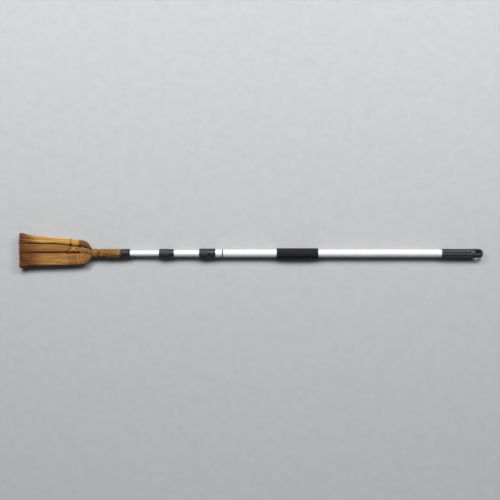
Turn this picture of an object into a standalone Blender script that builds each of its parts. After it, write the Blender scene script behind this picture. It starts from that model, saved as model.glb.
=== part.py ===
"""Telescopic snow broom: a stitched palm-fibre head on a three-section aluminium pole with two twist locks.

Stations are millimetres from the bristle tip along the pole, radii are millimetres from its axis. Every body
is an empty on that axis with its local Z along the pole, local Y across the head and local X down.
"""

from math import cos, pi, radians, sin

import bmesh
import bpy
import numpy as np
from mathutils import Matrix, Vector

MM = 0.001
TIP_X = -0.754  # world X of station 0, so that the whole length is centred
FOAM_R = 16.7
SIDES = 24
GAP = 0.3

# Head: edges and grooves across the pole's axis, as (station, offset)
BUNDLE_STATIONS = (0, 5, 16, 30, 52, 92, 120, 153, 180, 198, 211, 218, 224, 229, 233, 236)
HEAD_TOP_EDGE = tuple(zip(BUNDLE_STATIONS, (68.6, 67.4, 65.2, 61.8, 57.4, 53.2, 50.9, 48.3,
                                            45.2, 43.4, 41.4, 39.0, 34.8, 29.5, 22.5, 15.0)))
HEAD_LOW_EDGE = tuple(zip(BUNDLE_STATIONS, (-51.7, -49.6, -46.8, -44.4, -41.9, -41.0, -40.6, -39.8,
                                            -37.6, -36.5, -35.2, -32.2, -27.0, -22.0, -17.5, -13.4)))
GROOVE_HIGH = ((0, 34.0), (16, 32.2), (52, 31.4), (120, 30.8), (153, 27.5), (180, 22.8), (198, 21.5),
               (218, 18.6), (229, 14.0), (236, 8.6))
GROOVE_LOW = ((0, 0.4), (52, 1.8), (120, 2.2), (198, 2.6), (218, 1.2), (229, -1.0), (236, -2.6))
HEAD_HALF_THICKNESS = ((0, 15.6), (5, 16.7), (16, 16.5), (52, 16.0), (120, 15.2), (146, 14.0), (205, 14.0),
                       (214, 14.9), (224, 14.8), (236, 13.2))
BUNDLE_POINTS = 24
BUNDLE_SQUARENESS = 2.9
BUNDLE_GAP = 0.2  # on each side of a groove
ROUNDING_START, HEAD_END = 218.0, 236.0
END_THICKNESS = {"upper_bundle": 9.4, "middle_bundle": 13.2, "lower_bundle": 11.4}
AXIS_Y = -0.5 * (HEAD_TOP_EDGE[0][1] + HEAD_LOW_EDGE[0][1]) * MM
AXIS_Z = FOAM_R * MM

# Stitching: each row's station at the head's edges and grooves, from the low edge to the top edge
STITCH_CORD_R = 1.0
STITCH_LIFT = 1.6
STITCH_POINTS = 44
STITCH_ROWS = {"stitch_row_1": (171.0, 161.0, 169.5, 169.0), "stitch_row_2": (196.5, 190.0, 196.0, 196.5)}

# Neck and stick
STICK_R, STICK_NOSE_R, STICK_TIP_R = 9.6, 6.6, 4.6
STICK_TIP, STICK_NOSE, STICK_BODY, STICK_MOUTH = 200.0, 230.4, 239.0, 335.4
BORE_R, BORE_END = 7.4, 300.0
NECK_START, NECK_END, NECK_R, WRAP_BORE = 236.5, 330.6, 12.3, 12.6
NECK_WRAPS = ((236.6, 256.4, 15.3), (262.4, 282.8, 15.5), (283.4, 303.4, 15.2), (304.0, 330.6, 15.4))
NECK_RING = (331.0, 335.4, 14.8)
NECK_WASHER = (335.7, 338.0, 13.4, 7.4)

# Tubes: (start, end, outer radius, bore radius)
OUTER_TUBE = (622.0, 1475.7, 12.5, 11.5)
MIDDLE_TUBE = (495.0, 1426.7, 11.0, 10.0)
INNER_TUBE = (345.0, 1383.7, 9.5, 8.5)
BUSH_SHANK = BUSH_GUIDE = 20.0
BUSH_PLAY = 0.25

# Tip adapter
STUD_START, STUD_R, SHOULDER = 303.0, 7.0, 338.3
ADAPTER_R, ADAPTER_GROOVE_R, ADAPTER_END, SHANK_END = 14.6, 13.1, 361.0, 375.0
ADAPTER_RIBS, RIB_START, RIB_LAND, RIB_PITCH = 3, 340.0, 4.2, 6.5
PIN_STATION, PIN_R, PIN_REACH = 355.1, 1.5, 14.2

# Twist locks
SLIT_PHASE, SLIT_WIDTH, SLITS = radians(7.5), 1.3, 3
NUT_RIBS, NUT_RIB_DEPTH = 10, 0.75

# Grips and cap
FOAM = (837.5, 972.4, 12.8)
END_GRIP = (1373.0, 1475.7, 12.8, 15.3)
GRIP_RIBS, GRIP_FLUTES, GRIP_PHASE = 14, 8, radians(13.5)
GRIP_COLLAR, GRIP_GROOVE_HALF, GRIP_GROOVE_DEPTH, GRIP_FLUTE_DEPTH = 4.5, 1.2, 1.0, 0.9
CAP_START, CAP_END, CAP_TILT = 1451.0, 1508.0, radians(45)
CAP_ACROSS = np.array([sin(CAP_TILT), cos(CAP_TILT), 0.0])
CAP_THROUGH = np.array([-cos(CAP_TILT), sin(CAP_TILT), 0.0])
EYE_START, EYE_END, EYE_HALF = 1482.5, 1502.0, 6.4

FINISHES = {  # sRGB colour, roughness, metallic
    "satin_aluminium": ((226, 228, 232), 0.38, 0.85),
    "foam": ((40, 40, 42), 0.95, 0.0),
    "grip_rubber": ((52, 52, 57), 0.55, 0.0),
    "black_plastic": ((46, 48, 50), 0.45, 0.0),
    "bush_plastic": ((186, 188, 190), 0.5, 0.0),
    "rubber": ((24, 24, 25), 0.8, 0.0),
    "pin_steel": ((170, 172, 175), 0.3, 1.0),
    "palm_gold": ((176, 143, 86), 0.85, 0.0),
    "palm_brown": ((146, 104, 62), 0.85, 0.0),
    "palm_tan": ((167, 125, 74), 0.85, 0.0),
    "neck_fibre": ((120, 84, 50), 0.9, 0.0),
    "neck_cord": ((146, 106, 64), 0.85, 0.0),
    "dark_binding": ((78, 54, 40), 0.8, 0.0),
    "stitch_cord": ((172, 136, 82), 0.8, 0.0),
    "stick_wood": ((190, 150, 104), 0.7, 0.0),
}


def clear_scene():
    """Empties the scene and returns the collections for the parts and for the cutters."""
    for obj in list(bpy.data.objects):
        bpy.data.objects.remove(obj, do_unlink=True)
    made = []
    for name in ("snow_broom", "cutters"):
        collection = bpy.data.collections.new(name)
        bpy.context.scene.collection.children.link(collection)
        made.append(collection)
    return made


PARTS, CUTTERS = clear_scene()


def linear(srgb):
    """Linear RGBA of an sRGB triple of 0 to 255."""
    value = np.array(srgb) / 255.0
    value = np.where(value <= 0.04045, value / 12.92, ((value + 0.055) / 1.055) ** 2.4)
    return (*(float(v) for v in value), 1.0)


def finish_of(part, key):
    """A Principled material of this part's own."""
    colour, roughness, metallic = FINISHES[key]
    made = bpy.data.materials.new(f"{part}_{key}")
    made.use_nodes = True
    shader = made.node_tree.nodes["Principled BSDF"]
    shader.inputs["Base Color"].default_value = linear(colour)
    shader.inputs["Roughness"].default_value = roughness
    shader.inputs["Metallic"].default_value = metallic
    made.diffuse_color = linear(colour)
    return made


def body(name, parent=None):
    """An empty on the pole's axis that carries one moving body."""
    empty = bpy.data.objects.new(name, None)
    empty.empty_display_size = 0.03
    PARTS.objects.link(empty)
    if parent is None:
        empty.location = (TIP_X, AXIS_Y, AXIS_Z)
        empty.rotation_euler = (0.0, pi / 2, 0.0)
    empty.parent = parent
    return empty


def add(name, data, finish, parent):
    """Puts a mesh or curve on its body as one named part."""
    obj = bpy.data.objects.new(name, data)
    data.materials.append(finish_of(name, finish))
    PARTS.objects.link(obj)
    obj.parent = parent
    return obj


def add_cutter(name, mesh, parent):
    """Puts a mesh in the cutters' collection, out of the render."""
    obj = bpy.data.objects.new(name, mesh)
    CUTTERS.objects.link(obj)
    obj.parent = parent
    obj.hide_render = True
    obj.display_type = "WIRE"
    return obj


def boolean(obj, other, operation="DIFFERENCE"):
    """Adds an exact Boolean to a part."""
    made = obj.modifiers.new(other.name, "BOOLEAN")
    made.operation, made.solver, made.object = operation, "EXACT", other


def turned(name, outer, bore, finish, parent):
    """A piece turned about the pole's axis, from (station, radius) points that run towards the grip."""
    loop = list(reversed(outer)) + list(bore or ())
    if not bore:
        loop = [(outer[-1][0], 0.0), *loop, (outer[0][0], 0.0)]
    points = [(r * MM, 0.0, s * MM) for s, r in loop]
    edges = [(i, i + 1) for i in range(len(points) - 1)]
    if bore:
        edges.append((len(points) - 1, 0))
    mesh = bpy.data.meshes.new(name)
    mesh.from_pydata(points, edges, [])
    obj = add(name, mesh, finish, parent)
    screw = obj.modifiers.new("turn", "SCREW")
    screw.axis, screw.angle = "Z", 2 * pi
    screw.steps = screw.render_steps = SIDES
    screw.use_merge_vertices, screw.merge_threshold = True, 1e-5
    return obj


def tube(name, span, finish, parent):
    """A plain tube from (start, end, outer radius, bore radius)."""
    start, end, radius, bore = span
    return turned(name, [(start, radius), (end, radius)], [(start, bore), (end, bore)], finish, parent)


def loft_mesh(name, rings, closed=False):
    """Faces through rings of millimetre points, capped at both ends or closed into a tube."""
    bm = bmesh.new()
    rows = [[bm.verts.new(point) for point in np.asarray(ring) * MM] for ring in rings]
    pairs = list(zip(rows, rows[1:]))
    if closed:
        pairs.append((rows[-1], rows[0]))
    else:
        bm.faces.new(rows[0][::-1])
        bm.faces.new(rows[-1])
    for low, high in pairs:
        for k in range(len(low)):
            j = (k + 1) % len(low)
            bm.faces.new((low[k], low[j], high[j], high[k]))
    bmesh.ops.recalc_face_normals(bm, faces=bm.faces)
    mesh = bpy.data.meshes.new(name)
    bm.to_mesh(mesh)
    bm.free()
    return mesh


def loft(name, rings, finish, parent, closed=False):
    """A part made by loft_mesh."""
    return add(name, loft_mesh(name, rings, closed), finish, parent)


def round_ring(station, radius, sides, low=0.0, period=1, low_steps=(), phase=0.0):
    """A ring round the axis, with the points of low_steps in each period at the low radius."""
    steps = np.arange(sides)
    angle = 2 * pi * steps / sides + phase
    r = np.where(np.isin(steps % period, low_steps), low, radius)
    return np.stack([r * np.cos(angle), r * np.sin(angle), np.full(sides, float(station))], axis=1)


def rod(name, radius, start, end, sides=12):
    """The mesh of a cylinder between two points in millimetres."""
    start, end = Vector(start) * MM, Vector(end) * MM
    axis = end - start
    place = Matrix.Translation((start + end) / 2) @ axis.to_track_quat("Z", "Y").to_matrix().to_4x4()
    bm = bmesh.new()
    bmesh.ops.create_cone(bm, cap_ends=True, segments=sides, radius1=radius * MM, radius2=radius * MM,
                          depth=axis.length, matrix=place)
    mesh = bpy.data.meshes.new(name)
    bm.to_mesh(mesh)
    bm.free()
    return mesh


def box_cutter(name, size, centre, turn, parent):
    """A box cutter with its size and centre in millimetres, turned about the pole's axis."""
    bm = bmesh.new()
    bmesh.ops.create_cube(bm, size=1.0)
    for vert in bm.verts:
        vert.co = [c * side * MM for c, side in zip(vert.co, size)]
    mesh = bpy.data.meshes.new(name)
    bm.to_mesh(mesh)
    bm.free()
    obj = add_cutter(name, mesh, parent)
    obj.location = [c * MM for c in centre]
    obj.rotation_euler = (0.0, 0.0, turn)
    return obj


def read(pairs, station):
    """A table's value at a station."""
    stations, values = zip(*pairs)
    return np.interp(station, stations, values)


# ---- Twist locks -------------------------------------------------------------------------------------------


def lock_base(name, tube_r, slide_r, fingers, barrel, flange, tube_start, parent):
    """The fixed half of a twist lock: flange over the tube's mouth, barrel and six tapered fingers."""
    finger_start, finger_end = fingers
    flange_start, ring_start, end = flange
    bore, seat = slide_r + 0.2, tube_r + GAP
    rim = tube_r + 2.9
    outer = [(finger_start, bore + 1.05), (finger_start + 0.8, bore + 1.3), (finger_end - 2.0, barrel - 0.4),
             (finger_end, barrel), (flange_start, barrel), (flange_start, rim - 0.5),
             (flange_start + 0.8, rim), (ring_start - 1.2, rim), (ring_start - 0.8, rim - 0.7),
             (ring_start, rim - 0.7), (ring_start + 0.4, rim + 0.2), (end - 0.8, rim + 0.2), (end, rim - 0.6)]
    step = tube_start - GAP
    inner = [(finger_start, bore), (step, bore), (step, seat), (end, seat)]
    base = turned(name, outer, inner, "black_plastic", parent)
    length = finger_end - finger_start + 4.0
    for k in range(SLITS):
        slit = box_cutter(f"{name}_slit_{k + 1}", (SLIT_WIDTH, 4 * barrel, length),
                          (0, 0, finger_end - length / 2), SLIT_PHASE + k * pi / SLITS, parent)
        boolean(base, slit)


def lock_nut(name, radius, mouth, barrel, span, cone, parent):
    """The turning half: a ribbed barrel-shaped nut whose inner cone squeezes the fingers."""
    start, end = span
    cone_start, cone_end = cone
    sides, bore = 3 * NUT_RIBS, barrel + 0.35
    rings = [round_ring(start, radius - 2.0, sides), round_ring(start + 1.6, radius - 0.9, sides)]
    belly = ((0.10, -0.35, 0.0), (0.13, -0.3, 1.0), (0.45, 0.0, 1.0), (0.84, -0.15, 1.0))
    for fraction, swell, depth in belly:
        high = radius + swell
        low = high - depth * NUT_RIB_DEPTH
        rings.append(round_ring(start + fraction * (end - start), high, sides, low, 3, (2,)))
    rings.append(round_ring(start + 0.88 * (end - start), radius - 0.2, sides))
    rings.append(round_ring(end - 0.6, radius - 0.2, sides))
    rings.append(round_ring(end, radius - 0.7, sides))
    inner = [(end, bore), (cone_end, bore), (cone_start, mouth + 1.3), (cone_start - 0.5, mouth),
             (start, mouth)]
    rings += [round_ring(s, r, sides) for s, r in inner]
    loft(name, rings, "black_plastic", parent, closed=True)


# ---- Pole --------------------------------------------------------------------------------------------------


def outer_section(parent):
    """Outer tube with its foam sleeve, ribbed end grip, hanging cap and lock base."""
    tube("outer_tube", OUTER_TUBE, "satin_aluminium", parent)
    start, end, bore = FOAM
    profile = [(start, FOAM_R - 2.6), (start + 0.8, FOAM_R - 1.0), (start + 2.6, FOAM_R),
               (end - 2.6, FOAM_R), (end - 0.8, FOAM_R - 1.0), (end, FOAM_R - 2.6)]
    turned("foam_grip", profile, [(start, bore), (end, bore)], "foam", parent)
    end_grip(parent)
    hang_cap(parent)
    lock_base("lock_base_outer", OUTER_TUBE[2], MIDDLE_TUBE[2], (590.0, 603.0), 13.6,
              (619.0, 633.0, 638.6), OUTER_TUBE[0], parent)


def end_grip(parent):
    """Sleeve with ribs round it, cut by lengthwise flutes, between two plain collars."""
    start, end, bore, radius = END_GRIP
    period = SIDES // GRIP_FLUTES
    pitch = (end - start - 2 * GRIP_COLLAR) / GRIP_RIBS

    def ring(station, r, fluted=False):
        """One ring of the sleeve, with its flutes cut in or not."""
        low = r - GRIP_FLUTE_DEPTH if fluted else r
        return round_ring(station, r, SIDES, low, period, (0,), GRIP_PHASE)

    rings = [ring(start, radius - 0.9), ring(start + 0.8, radius)]
    for k in range(GRIP_RIBS + 1):
        groove = start + GRIP_COLLAR + k * pitch
        rings += [ring(groove - GRIP_GROOVE_HALF, radius, fluted=k > 0),
                  ring(groove, radius - GRIP_GROOVE_DEPTH),
                  ring(groove + GRIP_GROOVE_HALF, radius, fluted=k < GRIP_RIBS)]
    rings += [ring(end, radius), ring(end, bore), ring(start, bore)]
    loft("end_grip", rings, "grip_rubber", parent, closed=True)


def boxed_ring(station, half_width, half_depth, corner):
    """A rounded rectangle across the axis, with its width turned by the cap's tilt away from level."""
    per = SIDES // 4
    points = []
    for quarter, (sx, sy) in enumerate(((1, 1), (-1, 1), (-1, -1), (1, -1))):
        for k in range(per):
            angle = (quarter + k / (per - 1)) * pi / 2
            points.append((sx * (half_width - corner) + corner * cos(angle),
                           sy * (half_depth - corner) + corner * sin(angle)))
    return [p * CAP_ACROSS + q * CAP_THROUGH + np.array([0.0, 0.0, station]) for p, q in points]


def hang_cap(parent):
    """End plug: shank in the tube, flange over the grip and a flattened end with a slanted eye."""
    shank = OUTER_TUBE[3] - GAP
    flange = OUTER_TUBE[1] + GAP
    sections = [(CAP_START, shank - 0.8, shank - 0.8, shank - 0.8), (CAP_START + 0.8, shank, shank, shank),
                (flange, shank, shank, shank), (flange, 15.2, 15.2, 15.2), (1479.6, 15.3, 15.3, 15.3),
                (1480.6, 15.0, 14.2, 12.0), (1483.0, 14.6, 10.0, 7.0), (1486.0, 14.5, 8.0, 3.0),
                (1495.0, 14.4, 8.0, 3.0), (1499.5, 13.0, 8.0, 3.0), (1503.0, 10.6, 7.8, 3.0),
                (1506.0, 7.0, 6.8, 2.6), (CAP_END - 0.5, 4.0, 5.0, 2.0), (CAP_END, 2.4, 3.4, 1.6)]
    cap = loft("hang_cap", [boxed_ring(*section) for section in sections], "black_plastic", parent)
    boolean(cap, eye_cutter(parent))


def eye_cutter(parent):
    """The slanted slot of the hanging eye, as a prism through the cap's flat end."""
    outline = []
    for centre, first in ((EYE_START + EYE_HALF, pi / 2), (EYE_END - EYE_HALF, -pi / 2)):
        for k in range(9):
            angle = first + pi * k / 8
            outline.append((centre + EYE_HALF * cos(angle), EYE_HALF * sin(angle)))
    rings = [[v * CAP_ACROSS + depth * CAP_THROUGH + np.array([0.0, 0.0, s]) for s, v in outline]
             for depth in (-20.0, 20.0)]
    return add_cutter("hang_eye_cutter", loft_mesh("hang_eye_cutter", rings), parent)


def bush(name, tube_span, slide_bore, parent):
    """A closed guide bush at a tube's rear end, with its shank in the tube."""
    shank, start = tube_span[3] - GAP, tube_span[1] + GAP
    guide, end = slide_bore - BUSH_PLAY, start + BUSH_GUIDE
    outer = [(start - BUSH_SHANK, shank - 0.6), (start - BUSH_SHANK + 0.6, shank), (start, shank),
             (start, guide), (end - 0.8, guide), (end, guide - 0.8)]
    turned(name, outer, None, "bush_plastic", parent)


def middle_section(parent):
    """Middle tube with its lock base and tail bush."""
    tube("middle_tube", MIDDLE_TUBE, "satin_aluminium", parent)
    bush("middle_tail_bush", MIDDLE_TUBE, OUTER_TUBE[3], parent)
    lock_base("lock_base_middle", MIDDLE_TUBE[2], INNER_TUBE[2], (462.0, 474.0), 12.1, (492.0, 499.5, 504.0),
              MIDDLE_TUBE[0], parent)


def inner_section(parent):
    """Inner tube with its tail bush, ribbed tip adapter and cross pin."""
    inner = tube("inner_tube", INNER_TUBE, "satin_aluminium", parent)
    bush("inner_tail_bush", INNER_TUBE, MIDDLE_TUBE[3], parent)
    adapter = tip_adapter(parent)
    for part in (adapter, inner):
        hole = rod(f"pin_hole_{part.name}", PIN_R + GAP, (0, -20, PIN_STATION), (0, 20, PIN_STATION))
        boolean(part, add_cutter(hole.name, hole, parent))
    pin = rod("tip_pin", PIN_R, (0, -PIN_REACH, PIN_STATION), (0, PIN_REACH, PIN_STATION))
    add("tip_pin", pin, "pin_steel", parent)


def tip_adapter(parent):
    """Ferrule: a stud for the head, a ribbed body over the tube's mouth and a shank in the tube."""
    slot, shank = INNER_TUBE[0] - GAP, INNER_TUBE[3] - GAP
    outer = [(STUD_START, STUD_R - 0.8), (STUD_START + 0.8, STUD_R), (SHOULDER, STUD_R), (SHOULDER, 13.6)]
    for k in range(ADAPTER_RIBS):
        rib = RIB_START + k * RIB_PITCH
        outer += [(rib, ADAPTER_R), (rib + RIB_LAND, ADAPTER_R), (rib + RIB_LAND + 0.7, ADAPTER_GROOVE_R),
                  (rib + RIB_PITCH - 0.7, ADAPTER_GROOVE_R)]
    outer += [(RIB_START + ADAPTER_RIBS * RIB_PITCH, ADAPTER_R - 0.2), (ADAPTER_END - 0.4, ADAPTER_R - 0.4),
              (ADAPTER_END, ADAPTER_R - 1.0), (ADAPTER_END, INNER_TUBE[2] + GAP), (slot, INNER_TUBE[2] + GAP),
              (slot, shank), (SHANK_END, shank)]
    return turned("tip_adapter", outer, None, "black_plastic", parent)


# ---- Broom head --------------------------------------------------------------------------------------------


def bundle_shape(name, station):
    """(centre, half width, half thickness) of a fibre bundle at a station."""
    top, high = read(HEAD_TOP_EDGE, station), read(GROOVE_HIGH, station)
    low, bottom = read(GROOVE_LOW, station), read(HEAD_LOW_EDGE, station)
    sides = {"upper_bundle": (high, top), "middle_bundle": (low, high), "lower_bundle": (bottom, low)}
    near, far = sides[name]
    blend = np.clip((station - ROUNDING_START) / (HEAD_END - ROUNDING_START), 0.0, 1.0)
    half = read(HEAD_HALF_THICKNESS, station) * (1 - blend) + END_THICKNESS[name] * blend
    return (near + far) / 2, (far - near) / 2 - BUNDLE_GAP, half


def superellipse(centre, half_width, half_thickness, count, station):
    """A bundle's cross-section, with flat sides and round corners."""
    angle = 2 * pi * np.arange(count) / count
    power = 2.0 / BUNDLE_SQUARENESS
    across = centre + half_width * np.sign(np.cos(angle)) * np.abs(np.cos(angle)) ** power
    up = half_thickness * np.sign(np.sin(angle)) * np.abs(np.sin(angle)) ** power
    return np.stack([-up, across, np.full(count, float(station))], axis=1)


def bundles(parent):
    """The three lofted bundles, pocketed for the stick and for the stitches."""
    outer = [(STICK_TIP - 1.0, STICK_TIP_R - 0.6), (STICK_TIP + 1.5, STICK_TIP_R + 0.5),
             (STICK_NOSE - 0.4, STICK_NOSE_R + GAP), (STICK_BODY, STICK_R + GAP)]
    pocket = turned("stick_pocket", outer, None, "stick_wood", parent)
    PARTS.objects.unlink(pocket)
    CUTTERS.objects.link(pocket)
    pocket.hide_render, pocket.display_type = True, "WIRE"
    holes = stitch_holes(parent)
    finishes = {"upper_bundle": "palm_gold", "middle_bundle": "palm_brown", "lower_bundle": "palm_tan"}
    for name, finish in finishes.items():
        rings = [superellipse(*bundle_shape(name, s), BUNDLE_POINTS, s) for s in BUNDLE_STATIONS]
        made = loft(name, rings, finish, parent)
        boolean(made, pocket)
        for groove, hole in holes:
            if name == "middle_bundle" or (name == "upper_bundle") == (groove == "high"):
                boolean(made, hole)


def stitch_holes(parent):
    """A hole along each stitch that passes through a groove."""
    made = []
    for row, (_, low, high, _) in STITCH_ROWS.items():
        for groove, station, edges in (("low", low, GROOVE_LOW), ("high", high, GROOVE_HIGH)):
            y = float(read(edges, station))
            hole = rod(f"{row}_{groove}_hole", STITCH_CORD_R + 0.4, (-20, y, station), (20, y, station), 10)
            made.append((groove, add_cutter(hole.name, hole, parent)))
    return made


def stitch_row(name, parent):
    """One cord round the head that dips into both grooves, with a bar through each."""
    low_edge, low, high, top_edge = STITCH_ROWS[name]
    mean = (low + high) / 2
    shapes = [bundle_shape(bundle, mean) for bundle in END_THICKNESS]
    low_end = shapes[2][0] - shapes[2][1] - STITCH_LIFT
    across = np.linspace(low_end, shapes[0][0] + shapes[0][1] + STITCH_LIFT, 801)
    height = np.zeros_like(across)
    for centre, width, thick in shapes:
        inside = 1 - np.abs((across - centre) / (width + STITCH_LIFT)) ** BUNDLE_SQUARENESS
        rise = np.clip(inside, 0, None) ** (1 / BUNDLE_SQUARENESS)
        height = np.maximum(height, (thick + STITCH_LIFT) * rise)
    path = np.concatenate([np.stack([across, height], 1), np.stack([across, -height], 1)[-2:0:-1]])
    length = np.concatenate([[0], np.cumsum(np.linalg.norm(np.diff(path, axis=0), axis=1))])
    spots = np.linspace(0, length[-1], STITCH_POINTS + 1)[:-1]
    path = np.stack([np.interp(spots, length, path[:, k]) for k in (0, 1)], axis=1)
    grooves = [float(read(GROOVE_LOW, low)), float(read(GROOVE_HIGH, high))]
    knots = [across[0], grooves[0], grooves[1], across[-1]]
    stations = np.interp(path[:, 0], knots, (low_edge, low, high, top_edge))
    curve = bpy.data.curves.new(f"{name}_cord", "CURVE")
    curve.dimensions, curve.bevel_depth, curve.bevel_resolution = "3D", STITCH_CORD_R * MM, 1
    spline = curve.splines.new("POLY")
    spline.points.add(len(path) - 1)
    for point, (y, z), station in zip(spline.points, path, stations):
        point.co = (-z * MM, y * MM, station * MM, 1.0)
    spline.use_cyclic_u = True
    row = add(name, mesh_of(curve), "stitch_cord", parent)
    for groove, station, y in (("low", low, grooves[0]), ("high", high, grooves[1])):
        reach = float(np.interp(y, across, height))
        ends = (-reach, y, station), (reach, y, station)
        bar = rod(f"{name}_{groove}_bar", STITCH_CORD_R * 0.9, *ends, sides=8)
        boolean(row, add_cutter(bar.name, bar, parent), "UNION")


def mesh_of(curve):
    """A curve made a mesh with its doubles merged."""
    holder = bpy.data.objects.new(curve.name, curve)
    CUTTERS.objects.link(holder)
    mesh = bpy.data.meshes.new_from_object(holder.evaluated_get(bpy.context.evaluated_depsgraph_get()))
    bpy.data.objects.remove(holder, do_unlink=True)
    bm = bmesh.new()
    bm.from_mesh(mesh)
    bmesh.ops.remove_doubles(bm, verts=bm.verts, dist=1e-6)
    bmesh.ops.recalc_face_normals(bm, faces=bm.faces)
    bm.to_mesh(mesh)
    bm.free()
    return mesh


def neck(parent):
    """Stick, gathered roots, four windings and the binding ring."""
    outer = [(STICK_TIP, STICK_TIP_R - 1.4), (STICK_TIP + 2.0, STICK_TIP_R), (STICK_NOSE, STICK_NOSE_R),
             (STICK_BODY, STICK_R), (STICK_MOUTH, STICK_R), (STICK_MOUTH, BORE_R), (BORE_END, BORE_R)]
    turned("head_stick", outer, None, "stick_wood", parent)
    tube("neck_fibre", (NECK_START, NECK_END, NECK_R, STICK_R + GAP), "neck_fibre", parent)
    for k, (start, end, radius) in enumerate(NECK_WRAPS, 1):
        shoulder = 0.2 * (end - start)
        outer = [(start, radius - 2.0), (start + shoulder, radius - 0.1), (end - shoulder, radius),
                 (end, radius - 2.0)]
        turned(f"neck_wrap_{k}", outer, [(start, WRAP_BORE), (end, WRAP_BORE)], "neck_cord", parent)
    start, end, radius = NECK_RING
    outer = [(start, radius - 0.6), (start + 0.7, radius), (end - 0.7, radius), (end, radius - 0.6)]
    turned("neck_ring", outer, [(start, STICK_R + GAP), (end, STICK_R + GAP)], "dark_binding", parent)


def build():
    """Builds every body, from the hand's end to the head."""
    outer = body("outer_section")
    outer_section(outer)
    turn = body("outer_lock_turn", outer)
    lock_nut("lock_nut_outer", 15.8, 11.4, 13.6, (586.0, 618.7), (589.6, 602.6), turn)
    middle = body("middle_section", outer)
    middle_section(middle)
    turn = body("middle_lock_turn", middle)
    lock_nut("lock_nut_middle", 14.7, 9.9, 12.1, (456.0, 491.7), (461.0, 473.6), turn)
    inner = body("inner_section", middle)
    inner_section(inner)
    carrier = body("head_thread", inner)
    tube("neck_washer", NECK_WASHER, "rubber", carrier)
    head = body("broom_head", carrier)
    bundles(head)
    neck(head)
    for row in STITCH_ROWS:
        stitch_row(row, head)


build()
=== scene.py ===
"""Telescopic snow broom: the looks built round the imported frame.

A stitched palm-fibre head sits on a three-section aluminium pole with two twist locks, a foam hand grip and
a ribbed end grip with a hanging eye. Stations are millimetres from the bristle tips along the pole and radii
are millimetres from its axis. Angles turn from the side (+Y) towards the top (+Z).
"""

from __future__ import annotations

import logging
import math
from collections.abc import Callable, Mapping, Sequence
from dataclasses import dataclass
from enum import Enum
from typing import Any

import bpy
import numpy as np
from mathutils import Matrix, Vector

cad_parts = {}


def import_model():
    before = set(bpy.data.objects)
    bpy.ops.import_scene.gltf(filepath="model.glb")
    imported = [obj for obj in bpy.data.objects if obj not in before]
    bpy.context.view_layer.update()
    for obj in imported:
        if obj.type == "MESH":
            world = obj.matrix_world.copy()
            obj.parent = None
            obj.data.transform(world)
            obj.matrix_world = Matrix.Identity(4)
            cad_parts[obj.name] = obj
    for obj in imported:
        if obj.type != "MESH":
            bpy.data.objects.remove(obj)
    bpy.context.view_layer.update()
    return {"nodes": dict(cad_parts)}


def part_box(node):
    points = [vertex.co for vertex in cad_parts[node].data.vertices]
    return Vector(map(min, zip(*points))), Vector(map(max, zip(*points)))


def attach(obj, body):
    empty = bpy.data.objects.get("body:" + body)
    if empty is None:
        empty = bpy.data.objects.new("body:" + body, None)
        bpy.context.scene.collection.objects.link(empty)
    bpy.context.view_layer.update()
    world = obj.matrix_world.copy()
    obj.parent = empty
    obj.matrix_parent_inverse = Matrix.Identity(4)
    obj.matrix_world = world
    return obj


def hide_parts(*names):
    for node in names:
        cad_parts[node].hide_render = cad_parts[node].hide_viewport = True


LOG = logging.getLogger("snow_broom")
MM = 1e-3
TURN = 2 * math.pi
Array = np.ndarray
Relief = Callable[[Array, Array], Array]
Pairs = tuple[tuple[float, float], ...]


# ---- Colour and shader expressions ----


def linear(colour: Sequence[float]) -> Array:
    """Linear RGB of sRGB channels of 0 to 255.

    Args:
        colour: three channels, or an array whose last axis has three.

    Returns:
        The linear channels, from 0 to 1.
    """
    value = np.asarray(colour, float) / 255.0
    return np.where(value <= 0.04045, value / 12.92, ((value + 0.055) / 1.055) ** 2.4)


def rgba(colour: Sequence[float]) -> tuple[float, ...]:
    """A linear RGBA tuple for a colour socket."""
    return (*(float(v) for v in linear(colour)), 1.0)


@dataclass
class Value:
    """A shader socket that Python's arithmetic works on."""

    tree: bpy.types.NodeTree
    socket: bpy.types.NodeSocket

    def math(self, operation: str, *others: "Value | float", clamp: bool = False) -> "Value":
        """This value through one Math node.

        Args:
            operation: the Math node's operation.
            others: the node's further values.
            clamp: whether the result is kept between 0 and 1.

        Returns:
            The node's result.
        """
        node = self.tree.nodes.new("ShaderNodeMath")
        node.operation = operation
        node.use_clamp = clamp
        for place, value in enumerate((self, *others)):
            feed(self.tree, node.inputs[place], value)
        return Value(self.tree, node.outputs[0])

    def __add__(self, other: "Value | float") -> "Value":
        """Sum."""
        return self.math("ADD", other)

    __radd__ = __add__

    def __mul__(self, other: "Value | float") -> "Value":
        """Product."""
        return self.math("MULTIPLY", other)

    __rmul__ = __mul__

    def __sub__(self, other: "Value | float") -> "Value":
        """Difference."""
        return self.math("SUBTRACT", other)

    def __rsub__(self, other: float) -> "Value":
        """Difference from a number."""
        return self.math("MULTIPLY", -1.0).math("ADD", other)

    def __truediv__(self, other: "Value | float") -> "Value":
        """Quotient."""
        return self.math("DIVIDE", other)

    def ramp(self, low: float, high: float) -> "Value":
        """0 below low, 1 above high and a straight slope between."""
        return ((self - low) / (high - low)).math("ADD", 0.0, clamp=True)

    def band(self, centre: float, half: float, soft: float) -> "Value":
        """1 within half of the centre, falling to 0 over the soft width."""
        away = (self - centre).math("ABSOLUTE")
        return 1.0 - away.ramp(half, half + soft)


def feed(tree: bpy.types.NodeTree, socket: bpy.types.NodeSocket, value: Any) -> None:
    """Links a value to a socket, or sets the socket to a number or colour.

    Args:
        tree: the node tree.
        socket: the input socket.
        value: a value, a number or a colour.
    """
    if isinstance(value, Value):
        tree.links.new(value.socket, socket)
    else:
        socket.default_value = value


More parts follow.
